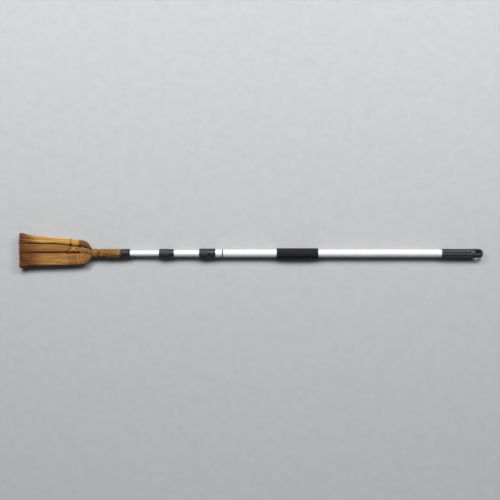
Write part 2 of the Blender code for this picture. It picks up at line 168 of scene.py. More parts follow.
class Paint:
    """One material under construction, with its Principled shader."""

    def __init__(self, name: str) -> None:
        """Starts an empty material.

        Args:
            name: the material's name.
        """
        self.material = bpy.data.materials.new(name)
        self.material.use_nodes = True
        self.tree = self.material.node_tree
        self.shader = self.tree.nodes["Principled BSDF"]

    def node(
        self,
        kind: str,
        settings: Mapping[str, Any] | None = None,
        inputs: Mapping[str | int, Any] | None = None,
        output: str | int = 0,
    ) -> Value:
        """Makes one node.

        Args:
            kind: the node's type, without its ShaderNode prefix.
            settings: properties set first; "stops" holds a ramp's (position, colour) pairs.
            inputs: numbers, colours or values for the node's sockets.
            output: the socket that is returned.

        Returns:
            The chosen output.
        """
        node = self.tree.nodes.new("ShaderNode" + kind)
        for key, value in (settings or {}).items():
            if key == "stops":
                elements = node.color_ramp.elements
                while len(elements) < len(value):
                    elements.new(0.5)
                for element, (position, colour) in zip(elements, value):
                    element.position, element.color = position, colour
            else:
                setattr(node, key, value)
        for key, value in (inputs or {}).items():
            feed(self.tree, node.inputs[key], value)
        return Value(self.tree, node.outputs[output])

    def place(self, scale: Sequence[float] = (1.0, 1.0, 1.0)) -> Value:
        """The point on the piece, in its own metres, scaled."""
        point = self.node("TexCoord", output="Object")
        return self.node("Mapping", inputs={"Vector": point, "Scale": tuple(scale)})

    def tint(self) -> Value:
        """The piece's own tint at the point, with its painted shade in it."""
        return self.node("Attribute", {"attribute_name": TINT}, output="Color")

    def axis(self, name: str) -> Value:
        """One coordinate of the point on the piece, in metres."""
        point = self.node("TexCoord", output="Object")
        return self.node("SeparateXYZ", inputs={"Vector": point}, output=name)

    def noise(self, scale: Sequence[float], detail: float = 3.0, roughness: float = 0.55) -> Value:
        """Noise of about 0 to 1, with the given number of cells in a metre along each axis."""
        inputs = {"Vector": self.place(scale), "Scale": 1.0, "Detail": detail, "Roughness": roughness}
        return self.node("TexNoise", inputs=inputs)

    def mix(self, factor: "Value | float", low: Any, high: Any, blend: str = "MIX") -> Value:
        """Two colours mixed by a factor.

        Args:
            factor: share of the second colour, from 0 to 1.
            low: the first colour.
            high: the second colour.
            blend: the Mix node's blend type.

        Returns:
            The mixed colour.
        """
        node = self.tree.nodes.new("ShaderNodeMix")
        node.data_type, node.blend_type = "RGBA", blend
        feed(self.tree, node.inputs[0], factor)
        feed(self.tree, node.inputs[6], low)
        feed(self.tree, node.inputs[7], high)
        return Value(self.tree, node.outputs[2])

    def bump(self, height: Value, distance: float, strength: float = 1.0) -> None:
        """Feeds a height in units of the distance, in metres, to the shader's normal."""
        normal = self.node("Bump", inputs={"Height": height, "Distance": distance, "Strength": strength})
        self.set("Normal", normal)

    def set(self, name: str, value: Any) -> None:
        """Sets or links one socket of the Principled shader."""
        feed(self.tree, self.shader.inputs[name], value)


# ---- Finishes ----


@dataclass(frozen=True)
class DrawnTube:
    """Satin anodised tube with fine lines along it, and optional printed marks."""

    colour: tuple[float, float, float] = (226, 228, 231)
    ink: tuple[float, float, float] = (34, 35, 39)
    marks: tuple[float, ...] = ()
    ring: float | None = None
    ring_half: float = 1.9 * MM
    tick_half: float = 0.35 * MM
    tick_side: float = -6.5 * MM
    tick_reach: tuple[float, float] = (3.6 * MM, 2.2 * MM)
    tick_strength: float = 0.45

    def make(self, name: str, axis: "Axis") -> bpy.types.Material:
        """The material of one tube.

        Args:
            name: the material's name.
            axis: the pole's axis, for the printed marks.

        Returns:
            The material.
        """
        paint = Paint(name)
        lines = paint.noise((9.0, 2600.0, 2600.0), 2.0)
        haze = paint.noise((14.0, 60.0, 60.0), 4.0)
        dull = rgba([c * 0.94 for c in self.colour])
        shade = paint.mix((lines * 0.5 + haze * 0.5).ramp(0.3, 0.75), rgba(self.colour), dull)
        if self.ring is not None:
            shade = paint.mix(self.print_mask(paint, axis), shade, rgba(self.ink))
        paint.set("Base Color", shade)
        paint.set("Metallic", 0.2)
        paint.set("Roughness", haze.ramp(0.2, 0.8) * 0.10 + lines * 0.08 + 0.40)
        paint.bump(lines, 0.02 * MM, 0.6)
        return paint.material

    def print_mask(self, paint: Paint, axis: "Axis") -> Value:
        """1 on the printed ring and on the row of plain length ticks beside it.

        Args:
            paint: the material under construction.
            axis: the pole's axis.

        Returns:
            The mask.
        """
        along = paint.axis("X")
        side = paint.axis("Y")
        mask = along.band(axis.x(self.ring), self.ring_half, 0.15 * MM)
        for count, station in enumerate(self.marks):
            across = side.band(axis.y + self.tick_side, self.tick_reach[count % 2], 0.2 * MM)
            tick = along.band(axis.x(station), self.tick_half, 0.1 * MM) * across
            mask = mask.math("MAXIMUM", tick * self.tick_strength)
        return mask


@dataclass(frozen=True)
class Moulded:
    """Moulded plastic with a fine spark-eroded grain and paler rubbed places."""

    colour: tuple[float, float, float] = (26, 28, 30)
    worn: tuple[float, float, float] = (44, 46, 49)
    roughness: float = 0.34
    grain: float = 0.03 * MM
    # shaded: the relief's hollows carry painted shade in the colour
    shaded: bool = False
    gloss: float = 0.38

    def make(self, name: str) -> bpy.types.Material:
        """The material of one moulding, with painted shade in its hollows if it's shaded.

        Args:
            name: the material's name.

        Returns:
            The material.
        """
        paint = Paint(name)
        rub = paint.noise((90.0, 90.0, 90.0), 5.0, 0.6)
        grain = paint.noise((3200.0, 3200.0, 3200.0), 2.0)
        shade = paint.mix(rub.ramp(0.52, 0.8), rgba(self.colour), rgba(self.worn))
        if self.shaded:
            # painted shade: the darkened hollows multiply the colour
            shade = paint.mix(1.0, shade, paint.tint(), "MULTIPLY")
        paint.set("Base Color", shade)
        paint.set("Specular IOR Level", self.gloss)
        rough = rub * 0.16 + grain * 0.08 + (self.roughness - 0.1)
        if self.shaded:
            rough = rough + (1.0 - paint.tint().math("ADD", 0.0, clamp=True)) * 0.6
        paint.set("Roughness", rough)
        paint.bump(grain, self.grain, 0.7)
        return paint.material


@dataclass(frozen=True)
class CellFoam:
    """Closed-cell foam: a matt skin with small open cells and faint mottling."""

    colour: tuple[float, float, float] = (31, 31, 33)
    cell: tuple[float, float, float] = (18, 18, 19)

    def make(self, name: str) -> bpy.types.Material:
        """The material of the foam sleeve.

        Args:
            name: the material's name.

        Returns:
            The material.
        """
        paint = Paint(name)
        cells = paint.node("TexVoronoi", inputs={"Vector": paint.place((900.0, 900.0, 900.0)), "Scale": 1.0})
        mottle = paint.noise((160.0, 160.0, 160.0), 4.0)
        pits = cells.ramp(0.1, 0.55)
        # painted shade: the open cells are darker inside
        shade = paint.mix(pits, rgba(self.cell), rgba(self.colour))
        bloom = rgba([c * 1.5 for c in self.colour])
        paint.set("Base Color", paint.mix(mottle.ramp(0.45, 0.8) * 0.5, shade, bloom))
        paint.set("Specular IOR Level", 0.15)
        paint.set("Roughness", mottle * 0.1 + 0.85)
        paint.bump(pits + mottle * 0.6, 0.25 * MM, 0.8)
        return paint.material


@dataclass(frozen=True)
class TintedFibre:
    """Plant fibre that takes its colour from the strands' own tints."""

    streak: float = 0.35
    roughness: float = 0.62
    gloss: float = 0.2

    def make(self, name: str, along: Sequence[float] = (18.0, 1900.0, 1900.0)) -> bpy.types.Material:
        """The material of one fibre piece.

        Args:
            name: the material's name.
            along: cells in a metre of the streaks, few along the strands and many across.

        Returns:
            The material.
        """
        paint = Paint(name)
        tint = paint.tint()
        streaks = paint.noise(along, 3.0)
        dark = paint.mix(1.0, tint, rgba((196, 186, 172)), "MULTIPLY")
        paint.set("Base Color", paint.mix(streaks.ramp(0.35, 0.7) * self.streak, tint, dark))
        paint.set("Roughness", streaks * 0.2 + (self.roughness - 0.1))
        paint.set("Specular IOR Level", self.gloss)
        paint.bump(streaks, 0.12 * MM, 0.6)
        return paint.material


@dataclass(frozen=True)
class Plain:
    """A quiet finish for small and inner pieces: two close tones, a fine grain and a set gloss."""

    colour: tuple[float, float, float]
    second: tuple[float, float, float]
    roughness: float
    metallic: float = 0.0
    cells: tuple[float, float, float] = (400.0, 400.0, 400.0)
    depth: float = 0.03 * MM

    def make(self, name: str) -> bpy.types.Material:
        """The material of one piece.

        Args:
            name: the material's name.

        Returns:
            The material.
        """
        paint = Paint(name)
        grain = paint.noise(self.cells, 4.0)
        paint.set("Base Color", paint.mix(grain.ramp(0.35, 0.7), rgba(self.colour), rgba(self.second)))
        paint.set("Metallic", self.metallic)
        paint.set("Roughness", grain * 0.15 + (self.roughness - 0.07))
        paint.bump(grain, self.depth, 0.6)
        return paint.material


NYLON = Plain((186, 188, 190), (170, 172, 174), 0.45)
BEECH = Plain((196, 158, 112), (160, 120, 78), 0.6, cells=(20.0, 700.0, 700.0), depth=0.08 * MM)
RUBBER = Plain((24, 24, 25), (34, 34, 35), 0.75)
PIN_STEEL = Plain((176, 178, 182), (150, 152, 156), 0.3, metallic=1.0)
FLOOR = Plain((166, 167, 168), (162, 163, 164), 0.7, cells=(30.0, 30.0, 30.0), depth=0.05 * MM)
# the attribute carries fibre colours and the painted shade of hollows, grooves and stitch holes
TINT = "fibre_tint"


# ---- Shapes as arrays ----


def rise(value: Array, start: float, length: float) -> Array:
    """0 up to the start, then a straight slope up to 1 over the length."""
    return np.clip((value - start) / length, 0, 1)


def fall(value: Array, end: float, length: float) -> Array:
    """0 from the end on, with a straight slope down from 1 over the length before it."""
    return np.clip((end - value) / length, 0, 1)


def hump(value: Array, half: float) -> Array:
    """A bell of height 1 at 0: exp(-(value / half)^2)."""
    return np.exp(-((value / half) ** 2))


@dataclass
class Shape:
    """Points in metres with the faces on them, one array of corner numbers for each count of corners."""

    points: Array
    faces: list[Array]
    tints: Array | None = None

    def outward(self) -> "Shape":
        """The same closed shape with its faces turned outwards, by the sign of its volume.

        Returns:
            This shape.
        """
        volume = 0.0
        for corners in self.faces:
            first = self.points[corners[:, 0]]
            for k in range(1, corners.shape[1] - 1):
                second, third = self.points[corners[:, k]], self.points[corners[:, k + 1]]
                volume += float(np.einsum("ij,ij->", first, np.cross(second, third)))
        if volume < 0:
            self.faces = [corners[:, ::-1] for corners in self.faces]
        return self

    def tinted(self, colour: Array) -> "Shape":
        """The same shape in one linear colour."""
        self.tints = np.tile(colour, (len(self.points), 1))
        return self


def join(shapes: Sequence[Shape]) -> Shape:
    """Several shapes as one, with their points one after another and white where a shape has no tints.

    Args:
        shapes: the shapes.

    Returns:
        The joined shape.
    """
    offsets = np.cumsum([0] + [len(shape.points) for shape in shapes])
    faces = [corners + start for shape, start in zip(shapes, offsets) for corners in shape.faces]
    tints = [np.ones_like(shape.points) if shape.tints is None else shape.tints for shape in shapes]
    return Shape(np.concatenate([shape.points for shape in shapes]), faces, np.concatenate(tints))


def solid(name: str, shape: Shape, material: bpy.types.Material, sharp: float = 40.0) -> bpy.types.Object:
    """A smooth-shaded mesh object from a shape.

    Args:
        name: the object's name.
        shape: its points and faces.
        material: its finish.
        sharp: the angle in degrees past which an edge stays sharp.

    Returns:
        The object, linked to the scene.
    """
    mesh = bpy.data.meshes.new(name)
    sizes = np.concatenate([np.full(len(c), c.shape[1]) for c in shape.faces])
    loops = np.concatenate([c.ravel() for c in shape.faces]).astype(np.int32)
    mesh.vertices.add(len(shape.points))
    mesh.vertices.foreach_set("co", shape.points.astype(np.float32).ravel())
    mesh.loops.add(len(loops))
    mesh.loops.foreach_set("vertex_index", loops)
    mesh.polygons.add(len(sizes))
    mesh.polygons.foreach_set("loop_start", (np.cumsum(sizes) - sizes).astype(np.int32))
    mesh.polygons.foreach_set("use_smooth", np.ones(len(sizes), bool))
    mesh.update(calc_edges=True)
    mesh.validate()
    mesh.set_sharp_from_angle(angle=math.radians(sharp))
    if shape.tints is not None:
        layer = mesh.attributes.new(TINT, "FLOAT_COLOR", "POINT")
        colours = np.concatenate([shape.tints, np.ones((len(shape.tints), 1))], axis=1)
        layer.data.foreach_set("color", colours.astype(np.float32).ravel())
    mesh.materials.append(material)
    made = bpy.data.objects.new(name, mesh)
    bpy.context.scene.collection.objects.link(made)
    return made


@dataclass(frozen=True)
class Axis:
    """The pole's axis, with the bristle tips at station 0."""

    tip: float
    y: float
    z: float

    def x(self, station: float | Array) -> Any:
        """World x of a station."""
        return self.tip + station * MM

    def polar(self, station: Array, radius: Array, angle: Array) -> Array:
        """Points at a station, radius and angle, as one array with a last axis of three."""
        return self.point(station, radius * np.cos(angle), radius * np.sin(angle))

    def point(self, station: Array, side: Array, up: Array) -> Array:
        """Points at a station, with millimetres to the side and up from the axis."""
        station, side, up = np.broadcast_arrays(station, side, up)
        return np.stack([self.x(station), self.y + side * MM, self.z + up * MM], axis=-1)

    @classmethod
    def of_frame(cls) -> "Axis":
        """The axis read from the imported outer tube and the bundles' tips.

        Returns:
            The axis.
        """
        low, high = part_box("outer_tube")
        tip = min(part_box(node)[0].x for node in ("upper_bundle", "middle_bundle", "lower_bundle"))
        return cls(tip, (low.y + high.y) / 2, (low.z + high.z) / 2)


def span_of(node: str, axis: Axis) -> tuple[float, float]:
    """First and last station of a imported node."""
    low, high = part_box(node)
    return (low.x - axis.tip) / MM, (high.x - axis.tip) / MM


def radius_of(node: str) -> float:
    """Largest radius of a packed turned node, in millimetres, from its height."""
    low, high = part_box(node)
    return (high.z - low.z) / 2 / MM


def read(pairs: Pairs, station: Array) -> Array:
    """A table's value at each station, along straight lines between its points."""
    stations, values = zip(*pairs)
    return np.interp(station, stations, values)


def fillet(corners: Sequence[tuple[float, ...]], steps: int = 5, closed: bool = False) -> Array:
    """A profile with its corners rounded.

    Each corner is (station, radius) or (station, radius, rounding). A rounded corner becomes the quadratic
    curve from one cut point to the other, bent towards the corner, with each cut at most 45% of its side.

    Args:
        corners: the profile's corners in order.
        steps: points on each rounded corner.
        closed: whether the profile is a loop.

    Returns:
        The rounded profile, one row for each point.
    """
    spots = np.array([corner[:2] for corner in corners], float)
    cuts = [corner[2] if len(corner) > 2 else 0.0 for corner in corners]
    made: list[Array] = []
    for k, (spot, cut) in enumerate(zip(spots, cuts)):
        at_end = not closed and k in (0, len(spots) - 1)
        if at_end or cut <= 0:
            made.append(spot[None])
            continue
        before, after = spots[k - 1] - spot, spots[(k + 1) % len(spots)] - spot
        near, far = np.linalg.norm(before), np.linalg.norm(after)
        first = spot + before / near * min(cut, 0.45 * near)
        last = spot + after / far * min(cut, 0.45 * far)
        t = np.linspace(0, 1, steps)[:, None]
        made.append((1 - t) ** 2 * first + 2 * t * (1 - t) * spot + t**2 * last)
    return np.concatenate(made)


def sleeve(span: Sequence[float], bore: float, radius: float, eases: Sequence[float], steps: int) -> Array:
    """A tube's closed profile, its corners eased from the first bore edge round to the last one.

    Args:
        span: first and last station.
        bore: inner radius.
        radius: outer radius.
        eases: rounding of each of the four corners.
        steps: points on each rounded corner.

    Returns:
        The profile, one row for each point.
    """
    start, end = span
    spots = ((start, bore), (start, radius), (end, radius), (end, bore))
    return fillet([(*spot, ease) for spot, ease in zip(spots, eases)], steps, closed=True)


def refine(profile: Array, step: float, closed: bool = False) -> Array:
    """A profile with extra points, so that no side is longer than the step.

    Args:
        profile: rows of (station, radius).
        step: longest side allowed, in millimetres.
        closed: whether the profile is a loop.

    Returns:
        The finer profile.
    """
    ends = np.concatenate([profile[1:], profile[:1]]) if closed else profile[1:]
    starts = profile if closed else profile[:-1]
    counts = np.maximum(1, np.ceil(np.linalg.norm(ends - starts, axis=1) / step)).astype(int)
    index = np.repeat(np.arange(len(starts)), counts)
    share = (np.arange(counts.sum()) - np.repeat(np.cumsum(counts) - counts, counts)) / counts[index]
    made = starts[index] + (ends[index] - starts[index]) * share[:, None]
    return made if closed else np.concatenate([made, profile[-1:]])


def grid_faces(rows: int, columns: int, close_rows: bool, close_columns: bool) -> Array:
    """Quads between neighbouring rows and columns of a grid of points.

    Args:
        rows: rows of the grid.
        columns: points in a row.
        close_rows: whether the last row joins the first.
        close_columns: whether each row is a ring.

    Returns:
        Corner numbers of the quads.
    """
    index = np.arange(rows * columns).reshape(rows, columns)
    low = index if close_rows else index[:-1]
    high = np.roll(index, -1, axis=0) if close_rows else index[1:]
    if close_columns:
        quads = [low, np.roll(low, -1, axis=1), np.roll(high, -1, axis=1), high]
    else:
        quads = [low[:, :-1], low[:, 1:], high[:, 1:], high[:, :-1]]
    return np.stack(quads, axis=-1).reshape(-1, 4)


def capped(points: Array) -> Shape:
    """A grid of points as a closed skin: each row is a ring, and the first and last rings have flat caps.

    Args:
        points: points in metres as (row, column, 3).

    Returns:
        The closed shape.
    """
    rows, columns = points.shape[:2]
    ring = np.arange(columns)
    faces = [grid_faces(rows, columns, False, True), ring[None, ::-1], ring[None] + (rows - 1) * columns]
    return Shape(points.reshape(-1, 3), faces).outward()


def lathe(
    axis: Axis,
    profile: Array,
    sides: int = 96,
    relief: Relief | None = None,
    arc: tuple[float, float] | None = None,
) -> Shape:
    """A profile turned about the pole's axis.

    Point (i, j) has the profile's station i and its radius plus the relief there, at angle j. A profile whose
    first radius is 0 closes in a pole at each end, and any other is a loop. An arc gives a sector with flat
    ends. A hollow of d millimetres is darkened by exp(-0.9 d) as painted shade in the hollow.

    Args:
        axis: the pole's axis.
        profile: rows of (station, radius).
        sides: points round the axis.
        relief: millimetres added to the radius, from station and angle.
        arc: first and last angle of a sector.

    Returns:
        The closed shape.
    """
    poles = profile[0, 1] == 0
    rows = profile[1:-1] if poles else profile
    angle = np.linspace(0, TURN, sides, endpoint=False) if arc is None else np.linspace(*arc, sides)
    station, radius = rows[:, :1] + 0 * angle, rows[:, 1:] + 0 * angle
    tints = None
    if relief is not None:
        depth = relief(station, angle[None] + 0 * station)
        radius = radius + depth
        # painted shade: each hollow of the relief is darkened by its depth
        tints = np.repeat(np.exp(np.minimum(depth, 0.0) * 0.9).reshape(-1, 1), 3, axis=1)
    points = axis.polar(station, radius, angle[None] + 0 * station).reshape(-1, 3)
    faces = [grid_faces(len(rows), sides, not poles, arc is None)]
    if poles:
        ends = axis.polar(profile[[0, -1], 0], np.zeros(2), np.zeros(2))
        ring = np.arange(sides)
        ahead = np.roll(ring, -1)
        last = (len(rows) - 1) * sides
        count = len(points)
        faces.append(np.stack([ring * 0 + count, ahead, ring], axis=1))
        faces.append(np.stack([ring * 0 + count + 1, ring + last, ahead + last], axis=1))
        points = np.concatenate([points, ends])
        tints = None if tints is None else np.concatenate([tints, np.ones((2, 3))])
    if arc is not None:
        side = np.arange(len(rows)) * sides
        faces += [side[None, ::-1], side[None] + sides - 1]
    return Shape(points, faces, tints).outward()


def frames(paths: Array, reference: Array, closed: bool) -> tuple[Array, Array]:
    """Two unit vectors across each path, the first as near as it can be to the reference.

    Args:
        paths: points as (path, point, 3).
        reference: a direction that broadcasts to the paths.
        closed: whether each path is a loop.

    Returns:
        The first and second vector at each point.
    """
    if closed:
        along = np.roll(paths, -1, axis=1) - np.roll(paths, 1, axis=1)
    else:
        along = np.gradient(paths, axis=1)
    along /= np.linalg.norm(along, axis=-1, keepdims=True)
    first = reference - (reference * along).sum(-1, keepdims=True) * along
    first /= np.linalg.norm(first, axis=-1, keepdims=True)
    return first, np.cross(along, first)


def strands(
    paths: Array,
    radius: Array,
    tints: Array | None = None,
    sides: int = 3,
    closed: bool = False,
    reference: Sequence[float] | Array = (0.0, 0.0, 1.0),
    roll: Array | None = None,
) -> Shape:
    """Round strands along many paths at once.

    Corner j of point i on strand k lies at the path's point plus the radius times the two vectors across the
    path, turned by j sides and the strand's roll.

    Args:
        paths: points in metres as (strand, point, 3).
        radius: strand radius in metres, which broadcasts to (strand, point).
        tints: linear colours as (strand, point, 3).
        sides: corners round a strand.
        closed: whether each path is a loop.
        reference: direction that the first vector across keeps near.
        roll: angle of each strand's first corner.

    Returns:
        The strands as one shape, each closed.
    """
    count, length = paths.shape[:2]
    first, second = frames(paths, np.asarray(reference, float), closed)
    angle = TURN * np.arange(sides) / sides + (np.zeros((count, 1)) if roll is None else roll[:, None])
    angle = angle[:, None, :, None]
    ring = np.cos(angle) * first[:, :, None] + np.sin(angle) * second[:, :, None]
    size = np.broadcast_to(radius, (count, length))[..., None, None]
    points = (paths[:, :, None] + size * ring).reshape(-1, 3)
    start = (np.arange(count) * length * sides)[:, None, None]
    faces = [(grid_faces(length, sides, closed, True)[None] + start).reshape(-1, 4)]
    if not closed:
        cap = np.arange(sides)[None] + start[:, 0]
        faces += [cap[:, ::-1], cap + (length - 1) * sides]
    colours = None if tints is None else np.repeat(tints.reshape(-1, 3), sides, axis=0)
    return Shape(points, faces, colours).outward()


def twisted(
    path: Array,
    plies: int,
    lay: float,
    ply: float,
    pitch: float,
    tint: Array,
    closed: bool = True,
    reference: Sequence[float] = (1.0, 0.0, 0.0),
    sides: int = 6,
) -> Shape:
    """A twisted cord along one path.

    Ply k runs on a helix round the path, at angle 360 degrees times (length / pitch + k / plies), with a
    whole number of turns. Its colour swells a little along the cord and from ply to ply.

    Args:
        path: points in metres as (point, 3).
        plies: number of plies.
        lay: distance in metres from the path to each ply's centre.
        ply: ply radius in metres.
        pitch: length in metres of one turn of the twist.
        tint: linear colour of the cord.
        closed: whether the path is a loop.
        reference: direction that the first vector across keeps near.
        sides: corners round a ply.

    Returns:
        The cord.
    """
    ends = np.concatenate([path, path[:1]]) if closed else path
    length = np.concatenate([[0], np.cumsum(np.linalg.norm(np.diff(ends, axis=0), axis=1))])
    turns = max(1, round(length[-1] / pitch))
    spots = np.linspace(0, length[-1], turns * 9 + (not closed), endpoint=not closed)
    spine = np.stack([np.interp(spots, length, ends[:, k]) for k in range(3)], axis=1)[None]
    first, second = frames(spine, np.asarray(reference, float), closed)
    turn = TURN * (turns * spots / length[-1] + np.arange(plies)[:, None] / plies)[..., None]
    paths = spine + lay * (np.cos(turn) * first + np.sin(turn) * second)
    swell = 0.12 * np.sin(TURN * spots / (pitch * 2.7))[None, :, None]
    glow = 1.0 + swell + 0.06 * np.arange(plies)[:, None, None]
    return strands(paths, np.array(ply), tint * glow, sides, closed, reference)


# ---- Fixed facts of the design ----


class Tone(Enum):
    """Fibre colours as sRGB: at the neck end, along the body and at the tips."""

    GOLD = ((104, 74, 48), (198, 157, 86), (116, 75, 38))
    BROWN = ((130, 100, 60), (158, 112, 59), (116, 72, 33))
    TAN = ((134, 97, 51), (167, 123, 66), (104, 60, 26))
    NECK = ((131, 93, 49), (134, 95, 50), (131, 93, 49))
    LAST_TURN = ((136, 106, 56), (140, 109, 58), (136, 106, 56))


def waves(angle: Array, station: Array, counts: Sequence[int], seed: int) -> Array:
    """A sum of sines round and along a piece, of about -1 to 1.

    Term k is sin(n_k angle + p_k + q_k station) times 0.7 + 0.3 sin(r_k station + s_k), with n_k from the
    counts and the other numbers drawn from the seed. The sum is divided by the root of the count of terms.

    Args:
        angle: angle round the piece.
        station: millimetres along it.
        counts: waves round the piece in each term.
        seed: seed of the draws.

    Returns:
        The sum at each point.
    """
    chance = np.random.default_rng(seed)
    total = 0.0 * angle + 0.0 * station
    for count in counts:
        phase, drift, beat, shift = chance.uniform((0, -0.03, 0.02, 0), (TURN, 0.03, 0.11, TURN))
        swell = 0.7 + 0.3 * np.sin(beat * station + shift)
        total = total + np.sin(count * angle + phase + drift * station) * swell
    return total / math.sqrt(len(counts))


@dataclass(frozen=True)
class HeadOutline:
    """Edges and grooves of the flat head as (station, millimetres to the side), and its half thickness."""

    top: Pairs = ((0, 68.6), (5, 67.4), (16, 65.2), (30, 61.8), (52, 57.4), (92, 53.2), (120, 50.9),
                  (153, 48.3), (180, 45.2), (198, 43.4), (211, 41.4), (218, 39.0), (224, 34.8), (229, 29.5),
                  (233, 22.5), (236, 15.0))
    low: Pairs = ((0, -51.7), (5, -49.6), (16, -46.8), (30, -44.4), (52, -41.9), (92, -41.0),
                  (120, -40.6), (153, -39.8), (180, -38.4), (198, -37.6), (211, -36.6), (218, -34.6),
                  (224, -30.8), (229, -25.4), (233, -19.5), (236, -14.0))
    high_groove: Pairs = ((0, 34.0), (16, 32.2), (52, 31.4), (120, 30.8), (153, 27.5), (180, 22.8),
                          (198, 21.5), (218, 18.6), (229, 14.0), (236, 8.6))
    low_groove: Pairs = ((0, 0.4), (52, 1.8), (120, 2.2), (198, 2.6), (218, 1.2), (229, -1.0), (236, -2.6))
    thickness: Pairs = ((0, 15.6), (5, 16.7), (16, 16.5), (52, 16.0), (120, 15.2), (146, 14.0),
                        (205, 14.0), (214, 14.9), (224, 14.8), (236, 13.2))
    end: float = 236.0


OUTLINE = HeadOutline()
SQUARENESS = 2.9
SQUARE = (0.0,) * 4
SCATTER = np.array([0.0, 1.0, 0.5])
ROWS = ((171.0, 161.0, 169.5, 169.0), (196.5, 190.0, 196.0, 196.5))


def row_station(row: Sequence[float], side: Array) -> Array:
    """Station of a stitch row at each side offset, through its places at the edges and grooves.

    Args:
        row: the row's stations at the low edge, both grooves and the top edge.
        side: millimetres to the side of the axis.

    Returns:
        The stations.
    """
    mean = np.array((row[1] + row[2]) / 2)
    edges = (OUTLINE.low, OUTLINE.low_groove, OUTLINE.high_groove, OUTLINE.top)
    return np.interp(side, [float(read(pairs, mean)) for pairs in edges], row)


def stitch_spots() -> list[tuple[float, float]]:
    """Station and side offset of each place where a stitch passes through a groove."""
    pairs = (OUTLINE.low_groove, OUTLINE.high_groove)
    return [(row[k + 1], float(read(pairs[k], np.array(row[k + 1])))) for row in ROWS for k in (0, 1)]


def hole_light(station: Array, side: Array, half: float) -> Array:
    """How much light is left near the stitch holes: almost none in each, and all of it some way off.

    Args:
        station: stations in millimetres.
        side: millimetres to the side of the axis.
        half: millimetres over which the light comes back.

    Returns:
        The share of light, from 0.1 to 1.
    """
    left = 1.0 + 0.0 * (station + side)
    for spot, offset in stitch_spots():
        left = left * (1 - 0.9 * hump(np.hypot(station - spot, side - offset), half))
    return left


@dataclass(frozen=True)
class Pull:
    """How the stitches pull the fibre: a valley under each row and a pit at each place they pass through."""

    valley: float = 0.085
    valley_half: float = 2.4
    pit: float = 0.58
    pit_half: float = 3.6
    push: float = 3.0

    def apply(self, station: Array, side: Array, up: Array) -> tuple[Array, Array, Array]:
        """Moved points: nearer the middle plane in the valleys and pits, and pushed away from each pit.

        Args:
            station: stations in millimetres.
            side: millimetres to the side of the axis.
            up: millimetres above the axis.

        Returns:
            The moved stations, side offsets and heights.
        """
        low = 1.0 + 0 * up
        for row in ROWS:
            low = low - self.valley * hump(station - row_station(row, side), self.valley_half)
        moved_station, moved_side = station, side
        for spot, offset in stitch_spots():
            away = np.hypot(station - spot, side - offset)
            near = hump(away, self.pit_half * math.sqrt(2))
            low = low * (1 - self.pit * near)
            push = self.push * near / (away + 1.5)
            moved_station = moved_station + push * (station - spot)
            moved_side = moved_side + push * (side - offset)
        return moved_station, moved_side, up * low


